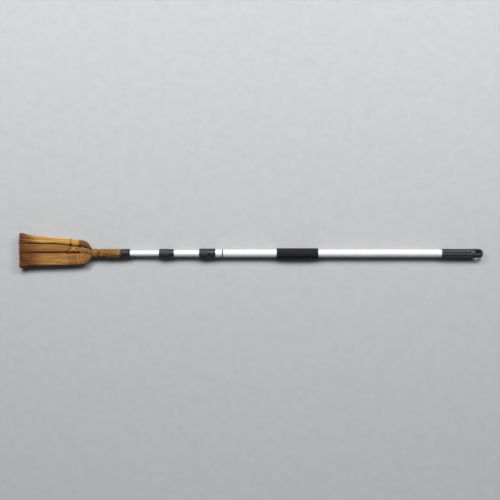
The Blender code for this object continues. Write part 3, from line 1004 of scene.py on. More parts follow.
@dataclass
class Bundle:
    """One stitched bundle of palm fibre, as a dark painted-shade core under a few thousand strands.

    The corner is 1 where the bundle's outer edge is the head's top edge, -1 where it's the low one and 0 for
    the bundle between two others. Stations run from the free tips to the last stitches, the shoulder where
    the head narrows, and the root inside the neck.
    """

    axis: Axis
    node: str
    near: Pairs
    far: Pairs
    end_thickness: float
    tone: Tone
    surface: int
    filling: int
    seed: int
    root_from: float = 212.0
    fade: tuple[float, float] = (66.0, 34.0)
    row_darkening: float = 0.0
    corner: float = 1.0
    near_lap: float = 0.0
    far_lap: float = 0.0
    merge: float = 1.5
    rest: float = 0.6 * MM
    strand: float = 0.42
    neck_draw: float = 0.78
    contrast: float = 1.0
    pull: Pull = Pull()
    brush_end: float = 45.0
    stitched: float = 150.0
    last_stitch: float = 196.0
    shoulder: float = 218.0
    root: float = 243.0

    def section(self, station: Array) -> tuple[Array, Array, Array]:
        """Centre, half width and half thickness of the bundle in millimetres at each station.

        Beside another bundle, the fibre laps over it past the stitches and runs into it at the tips.

        Args:
            station: stations in millimetres.

        Returns:
            The three, each shaped like the stations.
        """
        past = rise(station, self.last_stitch, 8.0)
        merge = self.merge * fall(station, 52.0, 34.0)
        near = read(self.near, station) - self.near_lap * past - merge * (self.corner >= 0)
        far = read(self.far, station) + self.far_lap * past + merge * (self.corner <= 0)
        blend = rise(station, self.shoulder, OUTLINE.end - self.shoulder)
        half = read(OUTLINE.thickness, station) * (1 - blend) + self.end_thickness * blend
        draw = 1 - (1 - self.neck_draw) * rise(station, OUTLINE.end, 8.0)
        return (near + far) / 2 * draw, ((far - near) / 2 - 0.4) * draw, half * draw

    def rim(self, station: Array, angle: Array, depth: Array) -> Array:
        """Points at a share of the way out to the bundle's skin, pulled in by the stitches.

        The skin is a superellipse: its distance in direction t is (|cos t|^n + |sin t|^n)^(-1/n), stretched
        by the half width and the half thickness.

        Args:
            station: stations in millimetres.
            angle: angles round the piece.
            depth: share of the way from the centre to the skin.

        Returns:
            Points in metres.
        """
        centre, width, thick = self.section(station)
        c, s = np.cos(angle), np.sin(angle)
        reach = depth * (np.abs(c) ** SQUARENESS + np.abs(s) ** SQUARENESS) ** (-1 / SQUARENESS)
        side, up = centre + width * reach * c, thick * reach * s
        return self.kept(self.axis.point(*self.pull.apply(station + 0 * reach, side, up)))

    def kept(self, points: Array) -> Array:
        """The points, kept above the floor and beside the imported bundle's box.

        Args:
            points: points in metres.

        Returns:
            The points inside the limits.
        """
        low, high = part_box(self.node)
        spare = Vector((0.5 * MM, 3.0 * MM, 0.5 * MM))
        return np.clip(points, (*(low - spare)[:2], self.rest), high + spare)

    def tints(self, station: Array, angle: Array, chance: np.random.Generator) -> Array:
        """Linear colours along strands: neck, body and darker tips, with clumps, streaks and specks.

        Painted shade darkens the colour in the grooves between bundles and round the places where stitches
        pass through.
        A bundle with row darkening is redder and darker between the stitch rows.

        Args:
            station: stations as (strand, point).
            angle: angles round the bundle, shaped alike.
            chance: the bundle's random draws.

        Returns:
            Colours as (strand, point, 3).
        """
        root, body, tip = (linear(c) for c in self.tone.value)
        count = len(station)
        start = chance.normal(0, 3.0, (count, 1))
        patch = waves(angle, station, (2, 3, 5), self.seed + 50)
        streak = waves(angle, station * 0.6, (11, 17, 29, 43), self.seed + 60)
        mottle = waves(angle, station * 3.0, (7, 13, 19, 31), self.seed + 70)
        to_tip = fall(station, self.fade[0] + 9.0 * patch + start * 2, self.fade[1])[..., None]
        to_root = rise(station, self.root_from - start * 0.2, 1.6)[..., None]
        worn = np.clip(0.18 + 0.22 * patch, 0, 0.6)[..., None]
        shade = body * (1 - worn) + tip * worn
        shade = shade * (1 - to_tip) + tip * to_tip
        shade = shade * (1 - to_root) + root * to_root
        # redder and darker between the stitch rows where row darkening is set
        between_rows = self.row_darkening * hump(station - 184.0, 18.0)[..., None]
        shade = shade * (1 - between_rows * np.array([0.18, 0.30, 0.36]))
        light = chance.normal(0, 0.22, (count, 1)) + chance.normal(0, 0.13, station.shape)
        light = self.contrast * (light + 0.15 * streak + 0.12 * mottle)
        # painted shade of the grooves and stitch holes
        light = light + np.log(self.painted_groove_shade(station, angle))
        warm = chance.normal(0, 0.06, (count, 1, 1)) * np.array([1.0, 0.0, -1.4])
        return np.clip(shade * np.exp(light)[..., None] * (1 + warm), 0, 1)

    def painted_groove_shade(self, station: Array, angle: Array) -> Array:
        """Painted shade as the share of the colour left: 1 in the open, less in grooves and least at the
        stitch holes.

        Args:
            station: stations in millimetres.
            angle: angles round the piece.

        Returns:
            The share of the colour at each point.
        """
        centre, width, _ = self.section(station)
        side = centre + width * np.sign(np.cos(angle)) * np.abs(np.cos(angle)) ** (2 / SQUARENESS)
        # painted shade along the grooves beside the other bundles, fading towards the tips and past the
        # stitches
        groove = np.where(self.corner * np.cos(angle) > 0, 0.0, 1.0) * hump(np.sin(angle), 0.35)
        depth = fall(station, self.last_stitch + 10.0, 12.0) * rise(station, 14.0, 36.0)
        return (1 - 0.42 * groove * depth) * hole_light(station, side, 4.2)

    def build(self) -> bpy.types.Object:
        """The bundle: core, skin strands and tip filling in one piece.

        Returns:
            The bundle on its own mesh.
        """
        chance = np.random.default_rng(self.seed)
        shape = join([self.core(), self.skin(chance), self.brush(chance)])
        return solid(f"{self.node}_fibre", shape, TintedFibre().make(f"{self.node}_fibre"), sharp=80.0)

    def core(self) -> Shape:
        """The packed fibre under the strands: the skin drawn in a little, ending short of the tips, darkened
        as painted shade between the strands.

        Returns:
            The core.
        """
        station = np.linspace(26.0, self.root - 1.0, 90)[:, None]
        angle = np.linspace(0, TURN, 72, endpoint=False)[None]
        grain = 0.012 * np.sin(angle * 23 + 0.02 * station) + 0.010 * np.sin(angle * 41 + 1.3)
        points = self.rim(station + 0 * angle, angle + 0 * station, 0.915 + grain)
        # painted shade: the core is 0.22 of the body tone, the dark seen between strands
        return capped(points).tinted(linear(self.tone.value[1]) * 0.22)

    def tips(self, mean: float, spread: float, angle: Array, chance: np.random.Generator) -> Array:
        """Station where each strand ends: ragged, and drawn back at the outer corner and rounded edges.

        Args:
            mean: mean station of the ends.
            spread: standard deviation of the ends.
            angle: angles round the piece.
            chance: the bundle's random draws.

        Returns:
            The stations.
        """
        last = chance.normal(mean, spread, angle.shape).clip(0.0, mean + 4 * spread)
        outer = np.clip(self.corner * np.cos(angle), 0, 1)
        return last + 7.0 * outer**6 + 2.0 * np.sin(angle) ** 4

    def skin(self, chance: np.random.Generator) -> Shape:
        """Strands that run the bundle's whole length just under and on its skin.

        A strand's points lie close together in the stitched and rounded end and further apart along the body.

        Args:
            chance: the bundle's random draws.

        Returns:
            The strands.
        """
        count, points = self.surface, 22
        share = np.linspace(0, 1, points)[None]
        angle = chance.uniform(0, TURN, (count, 1))
        last = self.tips(6.0, 3.2, angle, chance)
        first = self.root - chance.uniform(0, 3.0, (count, 1))
        station = last + (self.brush_end - last) * rise(share, 0.0, 0.17)
        station = station + (self.stitched - self.brush_end) * rise(share, 0.17, 0.21)
        station = station + (first - self.stitched) * rise(share, 0.38, 0.62)
        run = station / first
        angle = angle + chance.normal(0, 0.10, (count, 1)) * (run - 0.5)
        angle = angle + 0.02 * np.sin(run * 9 + chance.uniform(0, TURN, (count, 1)))
        streak = waves(angle, station * 0.6, (11, 17, 29, 43), self.seed + 60)
        depth = 0.985 - 0.07 * chance.uniform(0, 1, (count, 1)) ** 1.5 + 0.018 * (streak - 1.0)
        loose = np.clip((34.0 - station) / 30.0, 0, 1.2) ** 2
        depth = depth + loose * chance.normal(0.0, 0.035, (count, 1))
        paths = self.rim(station, angle, depth)
        sway = np.sin(run * 7 + chance.uniform(0, TURN, (count, 1)))[..., None]
        paths = paths + sway * chance.normal(0, 0.22 * MM, (count, 1, 3)) * np.array([0.0, 1.0, 0.7])
        paths = paths + loose[..., None] * chance.normal(0, 1.0 * MM, (count, 1, 3)) * SCATTER
        taper = np.interp(share, [0, 0.1, 1], [0.5, 1.0, 0.9])
        size = self.strand * MM * chance.uniform(0.75, 1.35, (count, 1)) * taper
        return self.laid(paths, size, station, angle, chance)

    def brush(self, chance: np.random.Generator) -> Shape:
        """Shorter strands that fill the bundle's cut end.

        Args:
            chance: the bundle's random draws.

        Returns:
            The strands.
        """
        count, points = self.filling, 5
        share = np.linspace(0, 1, points)[None]
        angle = chance.uniform(0, TURN, (count, 1))
        inner = np.sqrt(chance.uniform(0, 1, (count, 1)))
        last = self.tips(6.0, 3.6, angle, chance)
        station = last + (62.0 - last) * share
        angle, depth = angle + 0 * share, 0.95 * inner + 0 * share
        paths = self.rim(station, angle, depth)
        loose = np.clip((36.0 - station) / 36.0, 0, 1.2) ** 2
        paths = paths + loose[..., None] * chance.normal(0, 1.2 * MM, (count, 1, 3)) * SCATTER
        taper = np.interp(share, [0, 0.3, 1], [0.5, 1, 1])
        size = self.strand * MM * chance.uniform(0.8, 1.3, (count, 1)) * taper
        return self.laid(paths, size, station, angle, chance)

    def laid(
        self, paths: Array, size: Array, station: Array, angle: Array, chance: np.random.Generator
    ) -> Shape:
        """Strands of this bundle's colours along paths, each turned its own way.

        Args:
            paths: points in metres as (strand, point, 3).
            size: strand radii in metres.
            station: stations in millimetres.
            angle: angles round the piece.
            chance: the bundle's random draws.

        Returns:
            The strands.
        """
        tints = self.tints(station, angle, chance)
        return strands(self.kept(paths), size, tints, roll=chance.uniform(0, TURN, len(paths)))


def laced(name: str, shape: Shape, axis: Axis) -> bpy.types.Object:
    """A piece of cord with painted shade where it dives into the stitch holes.

    Args:
        name: the piece's name.
        shape: the cord.
        axis: the pole's axis.

    Returns:
        The piece.
    """
    station, side = (shape.points[:, 0] - axis.tip) / MM, (shape.points[:, 1] - axis.y) / MM
    shape.tints = shape.tints * hole_light(station, side, 2.6)[:, None]
    return solid(name, shape, TintedFibre(0.3).make(name, (900.0,) * 3), 80.0)


@dataclass
class Stitching:
    """One row of twisted cord round the head, pulled into both grooves."""

    axis: Axis
    node: str
    row: tuple[float, float, float, float]
    bundles: Sequence[Bundle]
    colour: tuple[float, float, float]
    lift: float = 0.35
    dive: float = 5.0
    dive_half: float = 3.0
    ply: float = 0.62
    plies: int = 3
    pitch: float = 5.2

    @property
    def mean(self) -> Array:
        """The row's mean station at the grooves."""
        return np.array((self.row[1] + self.row[2]) / 2)

    def height(self, side: Array) -> Array:
        """Height of the cord at each side offset: the highest of the three lifted bundle sections.

        Args:
            side: millimetres to the side of the axis.

        Returns:
            Heights in millimetres.
        """
        tall = np.zeros_like(side)
        for bundle in self.bundles:
            centre, width, thick = (float(v) for v in bundle.section(self.mean))
            inside = 1 - np.abs((side - centre) / (width + self.lift)) ** SQUARENESS
            tall = np.maximum(tall, (thick + self.lift) * np.clip(inside, 0, None) ** (1 / SQUARENESS))
        for _, offset in self.spots():
            tall = tall - np.minimum(self.dive, tall * 0.7) * hump(side - offset, self.dive_half)
        return tall

    def spots(self) -> list[tuple[float, float]]:
        """Station and side offset of this row's two passages through the grooves."""
        return [spot for spot in stitch_spots() if spot[0] in self.row]

    def loop(self) -> Array:
        """The cord's closed path over the top and back under the head, evenly spaced.

        Returns:
            Points in metres.
        """
        low = float(read(OUTLINE.low, self.mean)) - self.lift
        top = float(read(OUTLINE.top, self.mean)) + self.lift
        side = (low + top) / 2 - (top - low) / 2 * np.cos(np.linspace(0, math.pi, 400))
        tall, station = self.height(side), row_station(self.row, side)
        there = self.axis.point(station, side, tall)
        back = self.axis.point(station, side, -tall)[::-1][1:-1]
        return np.concatenate([there, back])

    def build(self) -> bpy.types.Object:
        """The cord in one piece, with its bars through the grooves that have any depth there, the bars
        darkened to half as painted shade in the grooves.

        Returns:
            The cord.
        """
        tint = linear(self.colour)
        parts = [self.cord(self.loop(), tint, True)]
        for station, side in self.spots():
            reach = 0.8 * float(self.height(np.array([side]))[0])
            if reach > 0:
                bar = self.axis.point(station, side, np.linspace(-reach, reach, 24))
                # painted shade: the bars in the grooves are half as bright
                parts.append(self.cord(bar, tint * 0.5, False))
        return laced(f"{self.node}_cord", join(parts), self.axis)

    def cord(self, path: Array, tint: Array, closed: bool) -> Shape:
        """A twisted cord of this row's plies along a path in metres."""
        lay = self.ply * 0.95 * MM
        return twisted(path, self.plies, lay, self.ply * MM, self.pitch * MM, tint, closed=closed)


@dataclass
class CrossLacing:
    """Two cords that cross over the middle bundle from one row of stitches to the other, above and below."""

    axis: Axis
    rows: tuple[Stitching, Stitching]
    colour: tuple[float, float, float] = (172, 130, 66)
    ply: float = 0.85
    pitch: float = 7.5
    sink: float = 0.3
    crossing: float = 0.7

    def build(self) -> bpy.types.Object:
        """The crossing cords as one piece.

        Returns:
            The lacing.
        """
        first, second = (row.spots() for row in self.rows)
        tint = linear(self.colour)
        parts = []
        for face in (1.0, -1.0):
            for over, ends in enumerate(((first[1], second[0]), (first[0], second[1]))):
                path = self.path(ends, face, self.crossing * over)
                parts.append(twisted(path, 3, 0.9 * self.ply * MM, self.ply * MM, self.pitch * MM, tint,
                                     closed=False, reference=(0.0, 0.0, 1.0)))
        return laced("cross_lacing", join(parts), self.axis)

    def path(self, ends: Sequence[tuple[float, float]], face: float, over: float) -> Array:
        """A smooth run over the bundle from one groove to the other, which dives in at both ends.

        Args:
            ends: station and side offset of both ends.
            face: 1 above the head and -1 below it.
            over: millimetres added in the middle, where this cord lies on the other.

        Returns:
            Points in metres.
        """
        t = np.linspace(0, 1, 60)
        (start, near), (end, far) = ends
        station, side = start + (end - start) * t, near + (far - near) * t
        middle = self.rows[0].bundles[1]
        centre, width, thick = (float(v) for v in middle.section(np.array((start + end) / 2)))
        inside = 1 - np.abs(np.clip((side - centre) / (width + 1.2), -1, 1)) ** SQUARENESS
        tall = (thick + self.sink) * inside ** (1 / SQUARENESS) + over * np.sin(math.pi * t)
        tall = tall - 4.0 * (hump(t, 0.06) + hump(1 - t, 0.06))
        return self.axis.point(station, side, face * tall)


@dataclass
class Neck:
    """The bound neck: gathered roots, four wound turns and the dark ring at its mouth."""

    axis: Axis
    loops: int = 78
    loop_points: int = 44
    strand: float = 0.42
    seed: int = 71

    def build(self) -> list[tuple[bpy.types.Object, str, str]]:
        """All pieces of the neck.

        Returns:
            Each piece with the node it replaces and its slot.
        """
        made = [(self.roots(), "neck_fibre", "palm_brown")]
        for turn in range(1, 5):
            made.append((self.turn(turn), f"neck_wrap_{turn}", "neck_cord"))
        made.append((self.ring(), "neck_ring", "binding"))
        return made

    def roots(self) -> bpy.types.Object:
        """Strands along the neck that show between the turns, over a dark sleeve of painted shade.

        Returns:
            The piece.
        """
        start, end = span_of("neck_fibre", self.axis)
        radius = radius_of("neck_fibre")
        chance = np.random.default_rng(self.seed)
        count = 230
        station = np.linspace(start - 2.0, end, 12)[None] + 0 * chance.uniform(0, 1, (count, 1))
        angle = chance.uniform(0, TURN, (count, 1)) + 0.25 * (station - start) / (end - start)
        away = radius - 0.45 - 0.5 * chance.uniform(0, 1, (count, 1)) + 0 * station
        tint = linear((128, 92, 56)) * np.exp(chance.normal(0, 0.22, (count, 1, 1))) + 0 * station[..., None]
        fibres = strands(self.axis.polar(station, away, angle), np.array(0.4 * MM), tint)
        profile = sleeve((start, end), radius - 2.3, radius - 0.9, SQUARE, 1)
        # painted shade: the sleeve under the strands is darker than they are
        under = lathe(self.axis, profile, 64).tinted(linear((70, 46, 26)))
        return solid("neck_roots", join([under, fibres]), TintedFibre().make("neck_roots"), 80.0)

    def bulge(self, node: str, station: Array) -> Array:
        """Radius of a wound turn: full in the middle and round at both edges, as a flat-topped arch.

        Args:
            node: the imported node.
            station: stations in millimetres.

        Returns:
            Radii in millimetres.
        """
        start, end = span_of(node, self.axis)
        share = np.clip((station - start) / (end - start) * 2 - 1, -1, 1)
        return radius_of(node) - 0.2 - 3.4 * (1 - (1 - np.abs(share) ** 2.6) ** (1 / 2.4))

    def turn(self, number: int) -> bpy.types.Object:
        """One wound turn: a filled ring, darkened as painted shade, under loops of fibre that lie slightly
        aslant.

        Args:
            number: the turn, from 1 at the head to 4 at the mouth.

        Returns:
            The piece.
        """
        node = f"neck_wrap_{number}"
        start, end = span_of(node, self.axis)
        chance = np.random.default_rng(self.seed + number)
        tone = Tone.LAST_TURN if number == 4 else Tone.NECK
        station = np.linspace(start + 0.3, end - 0.3, 18)
        body = np.stack([station, self.bulge(node, station) - 1.9], axis=1)
        body[:, 1] = np.maximum(body[:, 1], 12.75)
        profile = np.concatenate([body, [(end - 0.3, 12.6), (start + 0.3, 12.6)]])
        # painted shade: the ring under the loops is 0.4 of the neck tone
        ring = lathe(self.axis, profile, 72).tinted(linear(tone.value[0]) * 0.4)
        count = int(self.loops * (end - start) / 20.0)
        angle = np.linspace(0, TURN, self.loop_points, endpoint=False)[None]
        centre = chance.uniform(start + 0.5, end - 0.5, (count, 1))
        slant = chance.normal(2.0, 0.8, (count, 1)) * np.sin(angle + 0.4 + chance.normal(0, 0.3, (count, 1)))
        wander = chance.normal(0, 0.35, (count, 1)) * np.sin(2 * angle + chance.uniform(0, TURN, (count, 1)))
        where = np.clip(centre + slant + wander, start + 0.42, end - 0.42)
        depth = 0.55 * chance.uniform(0, 1, (count, 1)) ** 1.4
        wave = 0.12 * np.sin(3 * angle + chance.uniform(0, TURN, (count, 1)))
        lump = np.minimum(waves(angle + 0 * where, where * 6.0, (2, 3, 5, 7), self.seed + 20 * number), 0.4)
        away = np.maximum(self.bulge(node, where) - depth + wave + 1.2 * (lump - 0.4), 12.75)
        shade = linear(tone.value[1]) * np.exp(chance.normal(0, 0.24, (count, 1, 1)))
        blotch = waves(angle + 0 * where, where * 9.0, (2, 3, 5), self.seed + 10 * number)
        tint = shade * np.exp(0.22 * blotch)[..., None]
        size = self.strand * MM * chance.uniform(0.8, 1.3, (count, 1))
        loops = strands(self.axis.polar(where, away, angle + 0 * where), size, tint, closed=True,
                        reference=(1.0, 0.0, 0.0), roll=chance.uniform(0, TURN, count))
        finish = TintedFibre().make(f"{node}_fibre", (1500.0, 260.0, 260.0))
        return solid(f"{node}_fibre", join([ring, loops]), finish, 80.0)

    def ring(self) -> bpy.types.Object:
        """The dark binding: three turns of cord side by side over a thin band, darker as painted shade
        between the turns.

        Returns:
            The piece.
        """
        start, end = span_of("neck_ring", self.axis)
        radius = radius_of("neck_ring")
        turns, tint = 3, linear((84, 58, 42))
        cord = (end - start) / turns / 2
        angle = np.linspace(0, TURN, 90, endpoint=False)
        parts = []
        for k in range(turns):
            path = self.axis.polar(start + cord * (2 * k + 1), radius - cord, angle)
            parts.append(twisted(path, 2, cord * 0.45 * MM, cord * 0.55 * MM, 3.4 * MM, tint))
        profile = sleeve((start, end), 9.9, radius - cord, SQUARE, 1)
        # painted shade: the band under the cords is darker than they are
        band = lathe(self.axis, profile, 72).tinted(linear((58, 40, 30)))
        finish = TintedFibre(0.3, 0.7).make("neck_binding", (900.0,) * 3)
        return solid("neck_binding", join([band, *parts]), finish, 80.0)


@dataclass
class Tube:
    """One drawn tube of the pole, with its cut ends eased."""

    axis: Axis
    node: str
    wall: float = 1.0
    ease: float = 0.3
    finish: DrawnTube = DrawnTube()

    def build(self) -> bpy.types.Object:
        """The tube with its wall.

        Returns:
            The piece.
        """
        radius = radius_of(self.node)
        profile = sleeve(span_of(self.node, self.axis), radius - self.wall, radius, (self.ease,) * 4, 4)
        profile = refine(profile, 40.0, closed=True)
        name = f"{self.node}_drawn"
        return solid(name, lathe(self.axis, profile, 96), self.finish.make(name, self.axis))


FINGERS = 6


@dataclass
class TwistLock:
    """A twist lock: the fixed base with its slit collet and the ribbed nut that closes it."""

    axis: Axis
    size: str
    slide: float
    tube: float
    barrel: float
    fingers: tuple[float, float]
    flange: tuple[float, float]
    ribs: int = 30
    rib_depth: float = 0.55
    finish: Moulded = Moulded(shaded=True)

    def base(self) -> bpy.types.Object:
        """Flange, barrel and six tapered fingers.

        Returns:
            The piece.
        """
        start, end = span_of(f"lock_base_{self.size}", self.axis)
        rim = radius_of(f"lock_base_{self.size}")
        bore, seat = self.slide + 0.2, self.tube + 0.3
        first, root = self.fingers
        step, groove = self.flange
        low = rim - 0.9
        back = end - 0.3
        corners = [
            (root - 0.4, bore), (root - 0.4, self.barrel, 0.2), (step, self.barrel), (step, rim - 0.7, 0.5),
            (step + 0.8, rim - 0.2, 0.5), (groove - 1.4, rim - 0.2, 0.4), (groove - 0.9, low, 0.3),
            (groove, low, 0.3), (groove + 0.5, rim, 0.5), (back, rim, 0.9), (back, rim - 1.2, 0.5),
            (back, seat, 0.4), (step + 3.0, seat), (step + 3.0, bore),
        ]
        knurl_start, knurl_end = step + 1.6, groove - 1.8
        profile = refine(fillet(corners, 5, closed=True), 0.7, closed=True)

        def knurl(station: Array, angle: Array) -> Array:
            """Fine lengthwise flutes on the flange's broad land.

            Args:
                station: stations in millimetres.
                angle: angles round the piece.

            Returns:
                Millimetres added to the radius.
            """
            inside = (station > knurl_start) & (station < knurl_end) & (profile[:, 1:] > rim - 0.5)
            return -0.22 * inside * (0.5 + 0.5 * np.cos(angle * 60))

        body = lathe(self.axis, profile, 180, knurl)
        gap = 0.65 / self.barrel
        tip = [(first, bore, 0.2), (first, bore + 1.0, 0.4), (root - 2.0, self.barrel - 0.4)]
        cone = fillet([*tip, (root, self.barrel), (root, bore)], 4, closed=True)
        edges = np.arange(FINGERS + 1) * TURN / FINGERS
        blades = [
            lathe(self.axis, cone, 12, arc=(near + gap, far - gap)) for near, far in zip(edges, edges[1:])
        ]
        name = f"lock_base_{self.size}_moulding"
        return solid(name, join([body, *blades]), self.finish.make(name))

    def nut(self) -> bpy.types.Object:
        """The nut: a barrel-shaped shell with lengthwise ribs, a plain mouth ring and a tapered bore.

        Returns:
            The piece.
        """
        start, end = span_of(f"lock_nut_{self.size}", self.axis)
        rim = radius_of(f"lock_nut_{self.size}")
        length = end - start
        mouth, bore = self.slide + 0.42, self.barrel + 0.35
        belly = [(start + t * length, rim - 0.35 * (2 * t - 1.1) ** 2) for t in (0.16, 0.35, 0.55, 0.75)]
        front = [(start, mouth, 0.3), (start, rim - 2.1, 0.9), (start + 1.4, rim - 0.9, 0.8)]
        back = [(end - 2.4, rim - 0.25, 0.2), (end - 2.1, rim - 0.75, 0.2), (end - 1.7, rim - 0.25, 0.2),
                (end - 0.1, rim - 0.3, 0.5), (end - 0.1, bore, 0.3)]
        first, root = self.fingers
        inner = [(root, bore), (first - 0.6, mouth + 1.3), (first - 1.0, mouth)]
        corners = [*front, *belly, *back, *inner]
        profile = refine(fillet(corners, 5, closed=True), 0.8, closed=True)
        rib_start, rib_end = start + 4.0, end - 4.0

        def ribs(station: Array, angle: Array) -> Array:
            """Round-bottomed flutes between the ribs, fading out at both ends.

            Args:
                station: stations in millimetres.
                angle: angles round the piece.

            Returns:
                Millimetres added to the radius.
            """
            fade = rise(station, rib_start, 1.5) * fall(station, rib_end, 1.5)
            outer = profile[:, 1:] > rim - 1.3
            wave = 0.5 + 0.5 * np.cos(angle * self.ribs)
            return -self.rib_depth * fade * outer * wave**2

        name = f"lock_nut_{self.size}_moulding"
        return solid(name, lathe(self.axis, profile, self.ribs * 8, ribs), self.finish.make(name), 50.0)


@dataclass
class FoamGrip:
    """The foam sleeve of the forward hand, soft at its ends."""

    axis: Axis
    bore: float = 12.75
    eases: tuple[float, ...] = (0.6, 2.8, 2.8, 0.6)
    finish: CellFoam = CellFoam()

    def build(self) -> bpy.types.Object:
        """The sleeve, with a faintly uneven skin: three low waves along and round it.

        Returns:
            The piece.
        """
        profile = sleeve(span_of("foam_grip", self.axis), self.bore, radius_of("foam_grip"), self.eases, 9)
        profile = refine(profile, 1.6, closed=True)

        def uneven(station: Array, angle: Array) -> Array:
            """Low waves that only ever lower the skin.

            Args:
                station: stations in millimetres.
                angle: angles round the piece.

            Returns:
                Millimetres added to the radius.
            """
            outer = profile[:, 1:] > self.bore + 1.0
            wave = np.sin(station * 0.21 + 1.0) * np.sin(angle * 2) + np.sin(station * 0.093 + angle * 3)
            return outer * (0.05 * wave - 0.1)

        return solid("foam_sleeve", lathe(self.axis, profile, 128, uneven), self.finish.make("foam_sleeve"))


@dataclass
class EndGrip:
    """The ribbed sleeve at the pole's end: rings cut by lengthwise flutes, with plain collars."""

    axis: Axis
    ribs: int = 14
    flutes: int = 8
    phase: float = math.radians(81.0)
    bore: float = 12.8
    collar: float = 4.5
    rib_depth: float = 1.3
    rib_half: float = 2.1
    flute_depth: float = 2.2
    finish: Moulded = Moulded((66, 66, 71), (92, 92, 98), 0.36, 0.03 * MM, True, 0.4)

    def build(self) -> bpy.types.Object:
        """The sleeve.

        The skin is the radius less a round-bottomed groove wherever the ring grooves or the flutes pass, each
        a hollow shaped by a power of a cosine, and the deeper of the two counts.

        Returns:
            The piece.
        """
        start, end = span_of("end_grip", self.axis)
        radius = radius_of("end_grip")
        profile = sleeve((start, end), self.bore, radius, (0.3, 0.9, 0.6, 0.3), 6)
        profile = refine(profile, 0.55, closed=True)
        first, last = start + self.collar, end - self.collar
        pitch = (last - first) / self.ribs

        def pattern(station: Array, angle: Array) -> Array:
            """The ring grooves and flutes, as a negative height.

            Args:
                station: stations in millimetres.
                angle: angles round the piece.

            Returns:
                Millimetres added to the radius.
            """
            outer = profile[:, 1:] > radius - 0.95
            ring = (station - first + pitch / 2) % pitch - pitch / 2
            inside = (station > first - 1.3) & (station < last + 1.3)
            wave = np.cos(np.clip(ring / self.rib_half, -1, 1) * math.pi / 2)
            rings = self.rib_depth * wave**0.7 * inside
            hollow = 0.5 + 0.5 * np.cos(self.flutes * (angle - self.phase))
            flutes = self.flute_depth * hollow**4 * rise(station, first, 1.0) * fall(station, last, 1.0)
            return outer * -np.maximum(rings, flutes)

        name = "grip_sleeve"
        return solid(name, lathe(self.axis, profile, 192, pattern), self.finish.make(name), 50.0)


@dataclass
class HangCap:
    """The end plug with its slanted hanging eye, its edges softened as a moulding's are."""

    axis: Axis
    tilt: float = math.radians(45)
    eye_half: float = 6.4
    eye: tuple[float, float] = (1482.5, 1502.0)
    voxel: float = 0.42
    finish: Moulded = Moulded((38, 39, 42), (56, 57, 60), 0.5, gloss=0.25)
    sections: tuple[tuple[float, float, float, float], ...] = (
        (1451.0, 10.4, 10.4, 10.4), (1451.8, 11.2, 11.2, 11.2), (1476.0, 11.2, 11.2, 11.2),
        (1476.02, 15.2, 15.2, 15.2), (1479.6, 15.3, 15.3, 15.3), (1480.6, 15.0, 14.2, 12.0),
        (1483.0, 14.6, 10.0, 7.0), (1486.0, 14.5, 8.0, 3.0), (1495.0, 14.4, 8.0, 3.0),
        (1499.5, 13.0, 8.0, 3.0), (1503.0, 10.6, 7.8, 3.0), (1506.0, 7.0, 6.8, 2.6),
        (1507.5, 4.0, 5.0, 2.0), (1508.0, 2.4, 3.4, 1.6),
    )

    def outline(self, station: Array, width: Array, depth: Array, corner: Array, count: int = 96) -> Array:
        """Rounded rectangles across the axis: each corner's arc about its centre, turned by the tilt.

        Args:
            station: stations in millimetres.
            width: half widths across the plate.
            depth: half depths through the plate.
            corner: corner radii.
            count: points round an outline.

        Returns:
            Points in metres as (station, point, 3).
        """
        angle = np.linspace(0, TURN, count, endpoint=False) + TURN / count / 2
        across = (width - corner)[:, None] * np.sign(np.cos(angle)) + corner[:, None] * np.cos(angle)
        through = (depth - corner)[:, None] * np.sign(np.sin(angle)) + corner[:, None] * np.sin(angle)
        return self.turned(station[:, None], across, through)

    def turned(self, station: Array, across: Array, through: Array) -> Array:
        """Points across and through the plate, turned by the tilt about the pole's axis.

        Args:
            station: stations in millimetres.
            across: millimetres across the plate.
            through: millimetres through the plate.

        Returns:
            Points in metres.
        """
        side = across * math.cos(self.tilt) + through * math.sin(self.tilt)
        up = -across * math.sin(self.tilt) + through * math.cos(self.tilt)
        return self.axis.point(station, side, up)

    def body(self) -> Shape:
        """The plug without its eye, through all its sections.

        Returns:
            The plug.
        """
        table = np.array(self.sections)
        station = np.unique(np.concatenate([table[:, 0], np.arange(1477.0, 1508.0, 0.8)]))
        values = [np.interp(station, table[:, 0], table[:, k]) for k in (1, 2, 3)]
        return capped(self.outline(station, *values))

    def slot(self) -> Shape:
        """The eye's cutter: a long hole's outline, carried through the plug along the tilted direction.

        Returns:
            The cutter.
        """
        angle = np.linspace(0, TURN, 48, endpoint=False)
        shift = np.where(np.cos(angle) >= 0, self.eye[1] - self.eye_half, self.eye[0] + self.eye_half)
        station = shift + self.eye_half * np.cos(angle)
        through = np.array([-24.0, 24.0])[:, None]
        return capped(self.turned(station, self.eye_half * np.sin(angle), through))

    def build(self) -> bpy.types.Object:
        """The plug with its eye cut, remade in fine voxels and smoothed so that every edge is rounded.

        Returns:
            The piece.
        """
        material = self.finish.make("hang_cap_moulding")
        made = solid("hang_cap_moulding", self.body(), material)
        cutter = solid("eye_cutter", self.slot(), material)
        cut = made.modifiers.new("eye", "BOOLEAN")
        cut.operation, cut.solver, cut.object = "DIFFERENCE", "EXACT", cutter
        remesh = made.modifiers.new("remesh", "REMESH")
        remesh.mode, remesh.voxel_size, remesh.use_smooth_shade = "VOXEL", self.voxel * MM, True
        soften = made.modifiers.new("soften", "SMOOTH")
        soften.factor, soften.iterations = 0.5, 6
        applied(made)
        bpy.data.objects.remove(cutter, do_unlink=True)
        return made


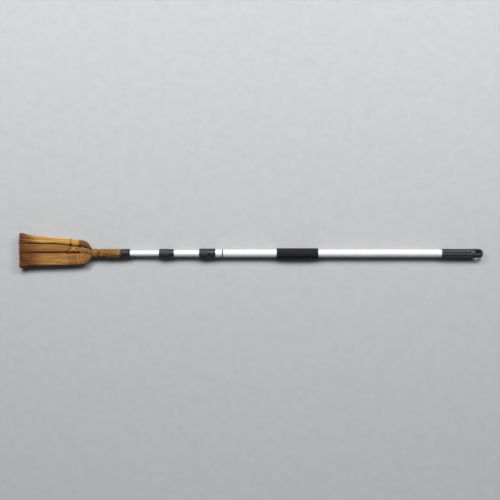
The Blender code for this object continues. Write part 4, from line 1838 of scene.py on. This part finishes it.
@dataclass
class TipAdapter:
    """The ribbed ferrule at the pole's tip, with its shank in the tube and its coarse screw stud."""

    axis: Axis
    shoulder: float = 338.3
    stud: float = 7.0
    pitch: float = 5.0
    ribs: tuple[float, ...] = (340.0, 346.5, 353.0)
    land: float = 4.2
    groove: float = 1.5
    seat: float = 344.7
    sleeve_end: float = 361.0
    finish: Moulded = Moulded((34, 34, 37), (54, 54, 58), 0.38, shaded=True)

    def build(self) -> bpy.types.Object:
        """The adapter, with a round thread that winds along the stud.

        Returns:
            The piece.
        """
        start, end = span_of("tip_adapter", self.axis)
        rim = radius_of("tip_adapter")
        tube_r, bore = 9.5, 8.5
        stud = [(start, 0.0), (start, self.stud - 1.2, 0.8), (start + 1.2, self.stud, 0.4),
                (self.shoulder, self.stud)]
        ferrule = [(self.shoulder, rim - 1.0, 0.6), (self.ribs[0] - 0.2, rim - 1.0, 0.2),
                   (self.ribs[0], rim, 0.4), (self.sleeve_end - 0.2, rim - 0.1, 0.9)]
        shank = [(self.sleeve_end, tube_r + 0.3, 0.2), (self.seat, tube_r + 0.3), (self.seat, bore - 0.3),
                 (end, bore - 0.3, 0.8), (end, 0.0)]
        corners = [*stud, *ferrule, *shank]
        profile = refine(fillet(corners, 5), 0.4)
        rows = profile[1:-1]

        def relief(station: Array, angle: Array) -> Array:
            """A helical groove on the stud, a raised cosine along its pitch, and a ring after each rib.

            Args:
                station: stations in millimetres.
                angle: angles round the piece.

            Returns:
                Millimetres added to the radius.
            """
            on_stud = (station < self.shoulder - 2.0) & (rows[:, 1:] > self.stud - 0.3)
            wave = 0.5 - 0.5 * np.cos(TURN * station / self.pitch - angle)
            thread = 1.1 * wave**1.5 * on_stud * rise(station, start + 2.0, 2.0)
            away = [(station - rib - self.land - 1.15) / 1.4 for rib in self.ribs]
            rings = sum(np.cos(np.clip(share, -1, 1) * math.pi / 2) for share in away)
            return -thread - self.groove * rings * (rows[:, 1:] > rim - 0.8)

        name = "tip_adapter_moulding"
        return solid(name, lathe(self.axis, profile, 112, relief), self.finish.make(name), 45.0)


@dataclass
class Washer:
    """The rubber thrust washer at the mouth of the neck."""

    axis: Axis
    bore: float = 7.4

    def build(self) -> bpy.types.Object:
        """The washer, with rounded edges.

        Returns:
            The piece.
        """
        name, node = "thrust_washer", "neck_washer"
        profile = sleeve(span_of(node, self.axis), self.bore, radius_of(node), (0.3, 0.7, 0.7, 0.3), 5)
        return solid(name, lathe(self.axis, profile, 96), RUBBER.make(name))


def applied(piece: bpy.types.Object) -> None:
    """Replaces a piece's mesh by the result of its modifiers.

    Args:
        piece: the finished piece.
    """
    graph = bpy.context.evaluated_depsgraph_get()
    mesh = bpy.data.meshes.new_from_object(piece.evaluated_get(graph))
    old = piece.data
    piece.modifiers.clear()
    piece.data = mesh
    mesh.name = piece.name
    bpy.data.meshes.remove(old)


# ---- Setting and assembly ----


@dataclass
class Setting:
    """Camera, floor and studio light."""

    level: float
    width: float = 1.625
    distance: float = 4.0
    centre: tuple[float, float] = (-0.003, 0.0024)
    sensor: float = 36.0
    key_place: tuple[float, float] = (1.6, 2.0)
    key_watts: float = 46.0
    wide_strength: float = 2.2
    fill_watts: float = 4.5
    room_strength: float = 0.055

    def build(self) -> None:
        """Places the camera straight above the object, then the floor and lights."""
        scene = bpy.context.scene
        camera = bpy.data.cameras.new("camera")
        camera.sensor_width = self.sensor
        camera.lens = self.sensor * (self.distance - self.level) / self.width
        camera.clip_end = 100.0
        holder = bpy.data.objects.new("camera", camera)
        holder.location = (*self.centre, self.distance)
        scene.collection.objects.link(holder)
        scene.camera = holder
        scene.view_settings.view_transform = "Standard"
        self.floor()
        self.lights()

    def floor(self) -> None:
        """A pale floor under everything."""
        corners = np.array([(-9, -9, 0), (9, -9, 0), (9, 9, 0), (-9, 9, 0)], float)
        floor = solid("floor", Shape(corners, [np.arange(4)[None]]), FLOOR.make("floor"))

    def lights(self) -> None:
        """Two soft keys behind the pole, a wide one for the whole floor, and weak front and even fill."""
        for name, side in (("key_left", -1.0), ("key_right", 1.0)):
            key = self.panel(name, 1.3, 0.7, self.key_watts)
            self.aim(key, Vector((1.25 * side, *self.key_place)), Vector((0.25 * side, 0.0, 0.0)))
        wide = bpy.data.lights.new("wide_key", "SUN")
        wide.energy, wide.angle = self.wide_strength, math.radians(35)
        self.aim(wide, Vector((0.0, *self.key_place)), Vector())
        self.aim(self.panel("front_fill", 3.0, 0.8, self.fill_watts), Vector((0.0, -2.6, 0.9)), Vector())
        world = bpy.data.worlds.new("studio")
        bpy.context.scene.world = world
        world.use_nodes = True
        background = world.node_tree.nodes["Background"]
        background.inputs["Color"].default_value = (0.93, 0.96, 1.0, 1.0)
        background.inputs["Strength"].default_value = self.room_strength

    def panel(self, name: str, length: float, depth: float, watts: float) -> bpy.types.Light:
        """A rectangular soft light.

        Args:
            name: the light's name.
            length: its long side in metres.
            depth: its short side in metres.
            watts: its power.

        Returns:
            The light.
        """
        light = bpy.data.lights.new(name, "AREA")
        light.shape, light.size, light.size_y, light.energy = "RECTANGLE", length, depth, watts
        return light

    def aim(self, light: bpy.types.Light, place: Vector, target: Vector) -> None:
        """Links a light at a place and turns it to its target.

        Args:
            light: the light.
            place: where it stands.
            target: what it points at.
        """
        lamp = bpy.data.objects.new(light.name, light)
        lamp.location = place
        lamp.rotation_euler = (target - place).to_track_quat("-Z", "Y").to_euler()
        bpy.context.scene.collection.objects.link(lamp)


def dress(frame: Mapping[str, Any], node: str, material: bpy.types.Material) -> None:
    """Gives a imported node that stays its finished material.

    Args:
        frame: the loaded frame.
        node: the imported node.
        material: its finish.
    """
    mesh = frame["nodes"][node].data
    mesh.materials.clear()
    mesh.materials.append(material)
    LOG.info("kept %s", node)


def settle(piece: bpy.types.Object, body: str, slot: str, *nodes: str) -> None:
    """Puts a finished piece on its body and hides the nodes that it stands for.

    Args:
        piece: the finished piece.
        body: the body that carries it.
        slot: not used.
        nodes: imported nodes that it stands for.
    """
    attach(piece, body)
    if nodes:
        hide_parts(*nodes)
    LOG.info("piece %s on %s: %d points", piece.name, body, len(piece.data.vertices))


def build_pole(axis: Axis, frame: Mapping[str, Any]) -> None:
    """Builds the three tube sections with their locks, grips and fittings.

    Args:
        axis: the pole's axis.
        frame: the loaded frame.
    """
    marks = tuple(645.0 + 3.5 * k for k in range(4))
    printed = DrawnTube(ring=662.0, marks=marks)
    settle(Tube(axis, "outer_tube", finish=printed).build(), "outer_section", "tube", "outer_tube")
    settle(Tube(axis, "middle_tube").build(), "middle_section", "tube", "middle_tube")
    settle(Tube(axis, "inner_tube").build(), "inner_section", "tube", "inner_tube")
    foam = FoamGrip(axis).build()
    settle(foam, "outer_section", "foam", "foam_grip")
    settle(EndGrip(axis).build(), "outer_section", "grip", "end_grip")
    settle(HangCap(axis).build(), "outer_section", "black_plastic", "hang_cap")
    cooler = Moulded((28, 31, 32), shaded=True)
    locks = (
        TwistLock(axis, "outer", 11.0, 12.5, 13.6, (590.0, 603.0), (619.0, 633.0), finish=cooler),
        TwistLock(axis, "middle", 9.5, 11.0, 12.1, (462.0, 474.0), (492.0, 499.5), ribs=28),
    )
    for lock in locks:
        settle(lock.base(), f"{lock.size}_section", "black_plastic", f"lock_base_{lock.size}")
        settle(lock.nut(), f"{lock.size}_lock_nut", "black_plastic", f"lock_nut_{lock.size}")
    settle(TipAdapter(axis).build(), "inner_section", "black_plastic", "tip_adapter")
    settle(Washer(axis).build(), "thread_washer", "rubber", "neck_washer")
    dress(frame, "middle_tail_bush", NYLON.make("middle_bush_nylon"))
    dress(frame, "inner_tail_bush", NYLON.make("inner_bush_nylon"))
    dress(frame, "tip_pin", PIN_STEEL.make("tip_pin_steel"))
    dress(frame, "head_stick", BEECH.make("head_stick_wood"))


def build_head(axis: Axis) -> None:
    """Builds the fibre bundles, their stitching and the wound neck.

    Args:
        axis: the pole's axis.
    """
    bundles = (
        Bundle(axis, "upper_bundle", OUTLINE.high_groove, OUTLINE.top, 9.4, Tone.GOLD, 1100, 620, 11,
               root_from=197.6),
        Bundle(axis, "middle_bundle", OUTLINE.low_groove, OUTLINE.high_groove, 13.2, Tone.BROWN, 1100, 620,
               12, fade=(80.0, 50.0), corner=0.0, near_lap=2.6, contrast=0.6),
        Bundle(axis, "lower_bundle", OUTLINE.low, OUTLINE.low_groove, 11.4, Tone.TAN, 1250, 620, 13,
               fade=(84.0, 46.0), corner=-1.0, far_lap=1.8, strand=0.46, row_darkening=1.0),
    )
    slots = ("palm_gold", "palm_brown", "palm_tan")
    for bundle, slot in zip(bundles, slots):
        settle(bundle.build(), "broom_head", slot, bundle.node)
    rows = (
        # row 1's darker cord colour is painted shade of the valley it lies in
        Stitching(axis, "stitch_row_1", ROWS[0], bundles, (118, 82, 46)),
        Stitching(axis, "stitch_row_2", ROWS[1], bundles, (170, 132, 76)),
    )
    for row in rows:
        settle(row.build(), "broom_head", "stitch", row.node)
    settle(CrossLacing(axis, rows).build(), "broom_head", "stitch")
    for piece, node, slot in Neck(axis).build():
        settle(piece, "broom_head", slot, node)


def main() -> None:
    """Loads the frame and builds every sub-assembly in order."""
    logging.basicConfig(level=logging.INFO, format="%(message)s")
    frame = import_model()
    axis = Axis.of_frame()
    Setting(axis.z).build()
    build_pole(axis, frame)
    build_head(axis)


if __name__ == "__main__":
    main()
